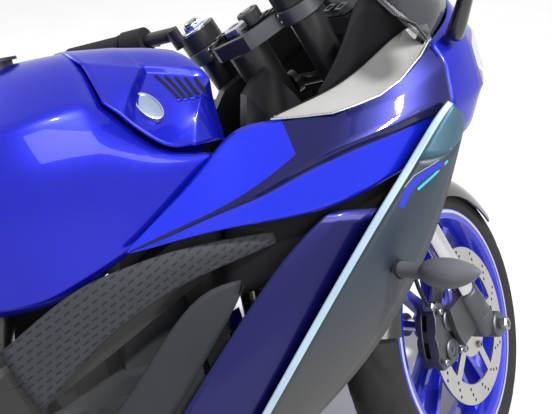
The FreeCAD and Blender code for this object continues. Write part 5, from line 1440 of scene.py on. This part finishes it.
def clamp_form(form, s, depth, back, grip):
    """A fork clamp: a web between two split rings, with bolts across the splits."""
    def at(ahead, y, up):
        return on_axis(s + up, ahead, y)

    outline = [(-back, -30), (-back, 30), (-back + 8, 42), (FORK_OFFSET - 16, FORK_Y - 26),
               (FORK_OFFSET - 14, FORK_Y), (FORK_OFFSET + 16, FORK_Y),
               (FORK_OFFSET + 15, FORK_Y - 24), (FORK_OFFSET + 22, 30), (FORK_OFFSET + 22, -30),
               (FORK_OFFSET + 15, 24 - FORK_Y), (FORK_OFFSET + 16, -FORK_Y),
               (FORK_OFFSET - 14, -FORK_Y), (FORK_OFFSET - 16, 26 - FORK_Y), (-back + 8, -42)]
    count = len(outline)
    half = depth / 2
    rows = [[at(a, y, up) for a, y in outline] for up in (-half, half - 2)]
    middle = FORK_OFFSET / 2
    rows.append([at(middle + (a - middle) * 0.95, y * 0.985, half) for a, y in outline])
    base = len(form.points)
    form.grid(rows, closed=True)
    form.add([], [tuple(range(base, base + count)),
                  tuple(reversed(range(base + 2 * count, base + 3 * count)))])
    for side in (-1, 1):
        ring = 25 + grip
        form.turned(on_axis(s, FORK_OFFSET, side * FORK_Y), STEER_UP, [
            (25.4, -half), (ring - 2, -half), (ring, 2 - half), (ring, half - 2), (ring - 2, half),
            (25.4, half), (25.4, -half)], 48)
        for up in (-half * 0.4, half * 0.4):
            lug = at(FORK_OFFSET - 22, side * (FORK_Y - 20), up)
            form.turned(lug, (0, side, 0), [(0.1, -4), (4, -4), (4, 34), (3, 35), (2, 33),
                                            (0.1, 33)], 12, mark=1)


def clamps():
    """Both fork clamps with the stem, and the slots through the top one, drawn as black faces as
    painted shade.
    """
    form = Form()
    clamp_form(form, CLAMP_TOP, 24, 30, 8)
    clamp_form(form, CLAMP_LOW, 31, 32, 9)
    form.turned(on_axis(CLAMP_LOW), STEER_UP, [(13.8, 0), (13.8, 206)], 36)
    piece("fork_clamps", form, ["casting", "bolt_steel"], "steering", replaces=["triple_clamps"],
          slot="dark_casting", bevel=1.2, angle=30)
    slots = Form()
    for side in (-1, 1):
        for y in (30, 42, 54, 66):
            ring = []
            for a in turns(16):
                ahead = (9 if math.cos(a) > 0 else -9) + 3.6 * math.cos(a)
                ring.append(on_axis(CLAMP_TOP + 12.2, FORK_OFFSET + ahead,
                                    side * y + 3.6 * math.sin(a)))
            # Each slot is a black face on the clamp's top, painted shade for the hole.
            slots.add(ring, [tuple(range(16))])
            edge = [p + STEER_UP * 0.2 for p in ring[12:] + ring[:5]]
            slots.tube(edge, 0.7, 6, mark=1)
    piece("clamp_slots_painted_shade", slots, ["black_and_shade", "machined_and_highlight"], "steering", slot="dark_casting")


def fork_lowers():
    """The sliders with their cast feet, the axle's clamps and the caliper's lug."""
    form = Form()
    for side in (-1, 1):
        y = side * FORK_Y
        foot = on_axis(AXLE_UP, FORK_OFFSET, y)
        form.turned(foot, STEER_UP, [
            (0.1, -6), (16, -6), (23, 0), (25.6, 10), (25.8, 40), (25.2, 62), (26, 66), (26, 74),
            (24.6, 78), (24.4, 96), (22, 103), (18.4, 105)], 48)
        form.turned(foot, STEER_UP, [(18.4, 104), (18.4, 334)], 48, mark=1)
        form.turned(foot, STEER_UP, [(18.6, 277), (24, 278), (25, 281), (25, 284)], 48, mark=2)
        form.turned((FRONT_AXLE.x, y, FRONT_AXLE.z), (0, 1, 0), [
            (8.4, -28), (21, -28), (24, -25), (24, 25), (21, 28), (8.4, 28)], 48)
        for up in (-14, 2):
            form.turned(foot + STEER_AHEAD * 22 + STEER_UP * up + Vector((0, side * -6, 0)),
                        (0, side, 0), [(0.1, -10), (4.5, -10), (4.5, 24), (3, 26), (1.6, 24),
                                       (0.1, 24)], 12, mark=2)
        for ring in (30, 36, 42):
            form.turned(foot, STEER_UP, [(25.4, ring), (26.2, ring + 0.8), (26.2, ring + 2.2),
                                         (25.4, ring + 3)], 48)

    lug = [beside(FRONT_AXLE, radius, angle)
           for radius, angle in ((104, 4), (118, 14), (126, 20), (148, 34))]
    lug += [on_axis(AXLE_UP + 100, FORK_OFFSET), on_axis(AXLE_UP + 20, FORK_OFFSET)]
    form.plate([(spot.x, spot.z) for spot in lug], -101, CALIPER_Y - 0.3)
    piece("fork_lowers", form, ["casting", "axle_chrome", "bolt_steel"], "steering",
          replaces=["fork_legs"], slot="black_metal", bevel=1.5, angle=30)


def caliper(name, body, node, centre, disc_y, reach, first, last, inner, outward, inward_y):
    """A cast caliper: two halves bridged over the disc, ribbed, with pads between them."""
    def spot(radius, share, y):
        return beside(centre, radius, first + (last - first) * share, y)

    form = Form()
    steps = 12
    for face, back, lift in ((disc_y - outward, disc_y - 5.2, 0),
                             (disc_y + inward_y, disc_y + 5.2, -2)):
        rows = []
        for step in range(steps + 1):
            share = step / steps
            swell = 1 - abs(2 * share - 1) ** 6
            low, high = inner + 4 * (1 - swell), reach + 14 + 8 * swell + lift
            dent = 5 if step % 4 == 2 else 0
            inset = (back - face) * (0.12 + 0.1 * (1 - swell))
            inset += math.copysign(dent * 0.4, back - face)
            rows.append([spot(low + 3, share, back), spot(high, share, back),
                         spot(high, share, face + inset * 1.6),
                         spot(high - 7, share, face + inset),
                         spot((low + high) / 2, share, face + inset * (0.6 if dent else 0)),
                         spot(low + 8, share, face + inset),
                         spot(low, share, face + inset * 1.6)])
        form.grid(rows, closed=True)
        form.ends(rows)
    for part in ((0.06, 0.2), (0.42, 0.58), (0.8, 0.94)):
        rows = [[spot(reach + up, share, disc_y + aside)
                 for up, aside in ((5, -8), (5, 8), (19, 8), (19, -8))] for share in part]
        form.grid(rows, closed=True)
        form.ends(rows)
    for y in (disc_y - 4.6, disc_y + 2.8):
        rows = [[spot(reach - down, share, y + aside)
                 for down, aside in ((34, 0), (4, 0), (4, 1.8), (34, 1.8))]
                for share in (0.12, 0.3, 0.5, 0.7, 0.88)]
        form.grid(rows, closed=True, mark=1)
    piece(name, form, ["casting", "bolt_steel"], body, replaces=[node], slot="dark_casting",
          bevel=1.6, angle=30)


clamps()
fork_lowers()
caliper("front_caliper_body", "steering", "front_caliper", FRONT_AXLE, disc_y=-62, reach=149,
        first=-4, last=38, inner=98, outward=27, inward_y=21)


# Stage: a pale floor, soft lamps and the camera

def floor():
    """A floor that looks pale, and throws less light back on the bike than it would."""
    mesh = bpy.data.meshes.new("floor")
    reach = 30
    mesh.from_pydata([(-reach, -reach, 0), (reach, -reach, 0), (reach, reach, 0),
                      (-reach, reach, 0)], [], [(0, 1, 2, 3)])
    f = Finish("floor_pale")
    seen = f.plain_view()
    pale = f.mix(f.noise(3, 4), (0.66, 0.65, 0.63), (0.72, 0.71, 0.69))
    mesh.materials.append(f.set(Base_Color=f.mix(seen, (0.3, 0.3, 0.3), pale), Roughness=0.85))
    made = bpy.data.objects.new("floor", mesh)
    bpy.context.scene.collection.objects.link(made)


def lamp(name, place, aim, size, power):
    """A soft rectangular lamp."""
    light = bpy.data.lights.new(name, "AREA")
    light.shape = "RECTANGLE"
    light.size, light.size_y = size
    light.energy = power
    made = bpy.data.objects.new(name, light)
    bpy.context.scene.collection.objects.link(made)
    made.location = place
    made.rotation_mode = "QUATERNION"
    made.rotation_quaternion = (Vector(aim) - Vector(place)).to_track_quat("-Z", "Y")


floor()
world = bpy.data.worlds.new("room")
bpy.context.scene.world = world
world.use_nodes = True
room = Net(world.node_tree)
sky = room.tree.nodes["Background"]
sky.inputs["Color"].default_value = (0.75, 0.8, 0.9, 1)
sky.inputs["Strength"].default_value = 0.45
pale = room.node("Background", None, {"Color": (0.95, 0.95, 0.95, 1), "Strength": 1})
shown = room.node("MixShader", None,
                  {0: room.plain_view(), 1: Value(room, sky.outputs[0]), 2: pale})
room.feed(room.tree.nodes["World Output"].inputs["Surface"], shown)
sun = bpy.data.lights.new("sun", "SUN")
sun.energy = 3.6
sun.angle = math.radians(4)
sun_lamp = bpy.data.objects.new("sun", sun)
bpy.context.scene.collection.objects.link(sun_lamp)
sun_lamp.rotation_mode = "QUATERNION"
sun_lamp.rotation_quaternion = Vector((-0.3, 0.42, -0.86)).to_track_quat("-Z", "Y")
lamp("soft_right", (1.2, -2.6, 2.4), (0.2, 0, 0.6), (2.2, 1.4), 60)
lamp("soft_left", (-1.6, 2.8, 2.6), (0, 0, 0.6), (2.0, 1.6), 50)


CAMERA_EYE = Vector((58.8, -863.0, 932.4))
CAMERA_AHEAD = Vector((0.32812, 0.8918, -0.31149))
CAMERA_UP = Vector((0.26005, 0.23173, 0.93738))


def camera():
    """The photograph's viewpoint, given in the upright bike's millimetres."""
    lens = bpy.data.cameras.new("view")
    lens.sensor_width = 36
    lens.lens = 38.94
    lens.clip_start = 0.05
    made = bpy.data.objects.new("view", lens)
    bpy.context.scene.collection.objects.link(made)
    bpy.context.scene.camera = made
    eye = PARKED @ CAMERA_EYE
    turn = PARKED.to_3x3().normalized()
    ahead = (turn @ CAMERA_AHEAD).normalized()
    up = turn @ CAMERA_UP
    up = (up - ahead * up.dot(ahead)).normalized()
    right = ahead.cross(up)
    made.matrix_world = Matrix.Translation(eye) @ Matrix((right, up, -ahead)).transposed().to_4x4()


camera()

scene = bpy.context.scene
scene.view_settings.view_transform = "Standard"
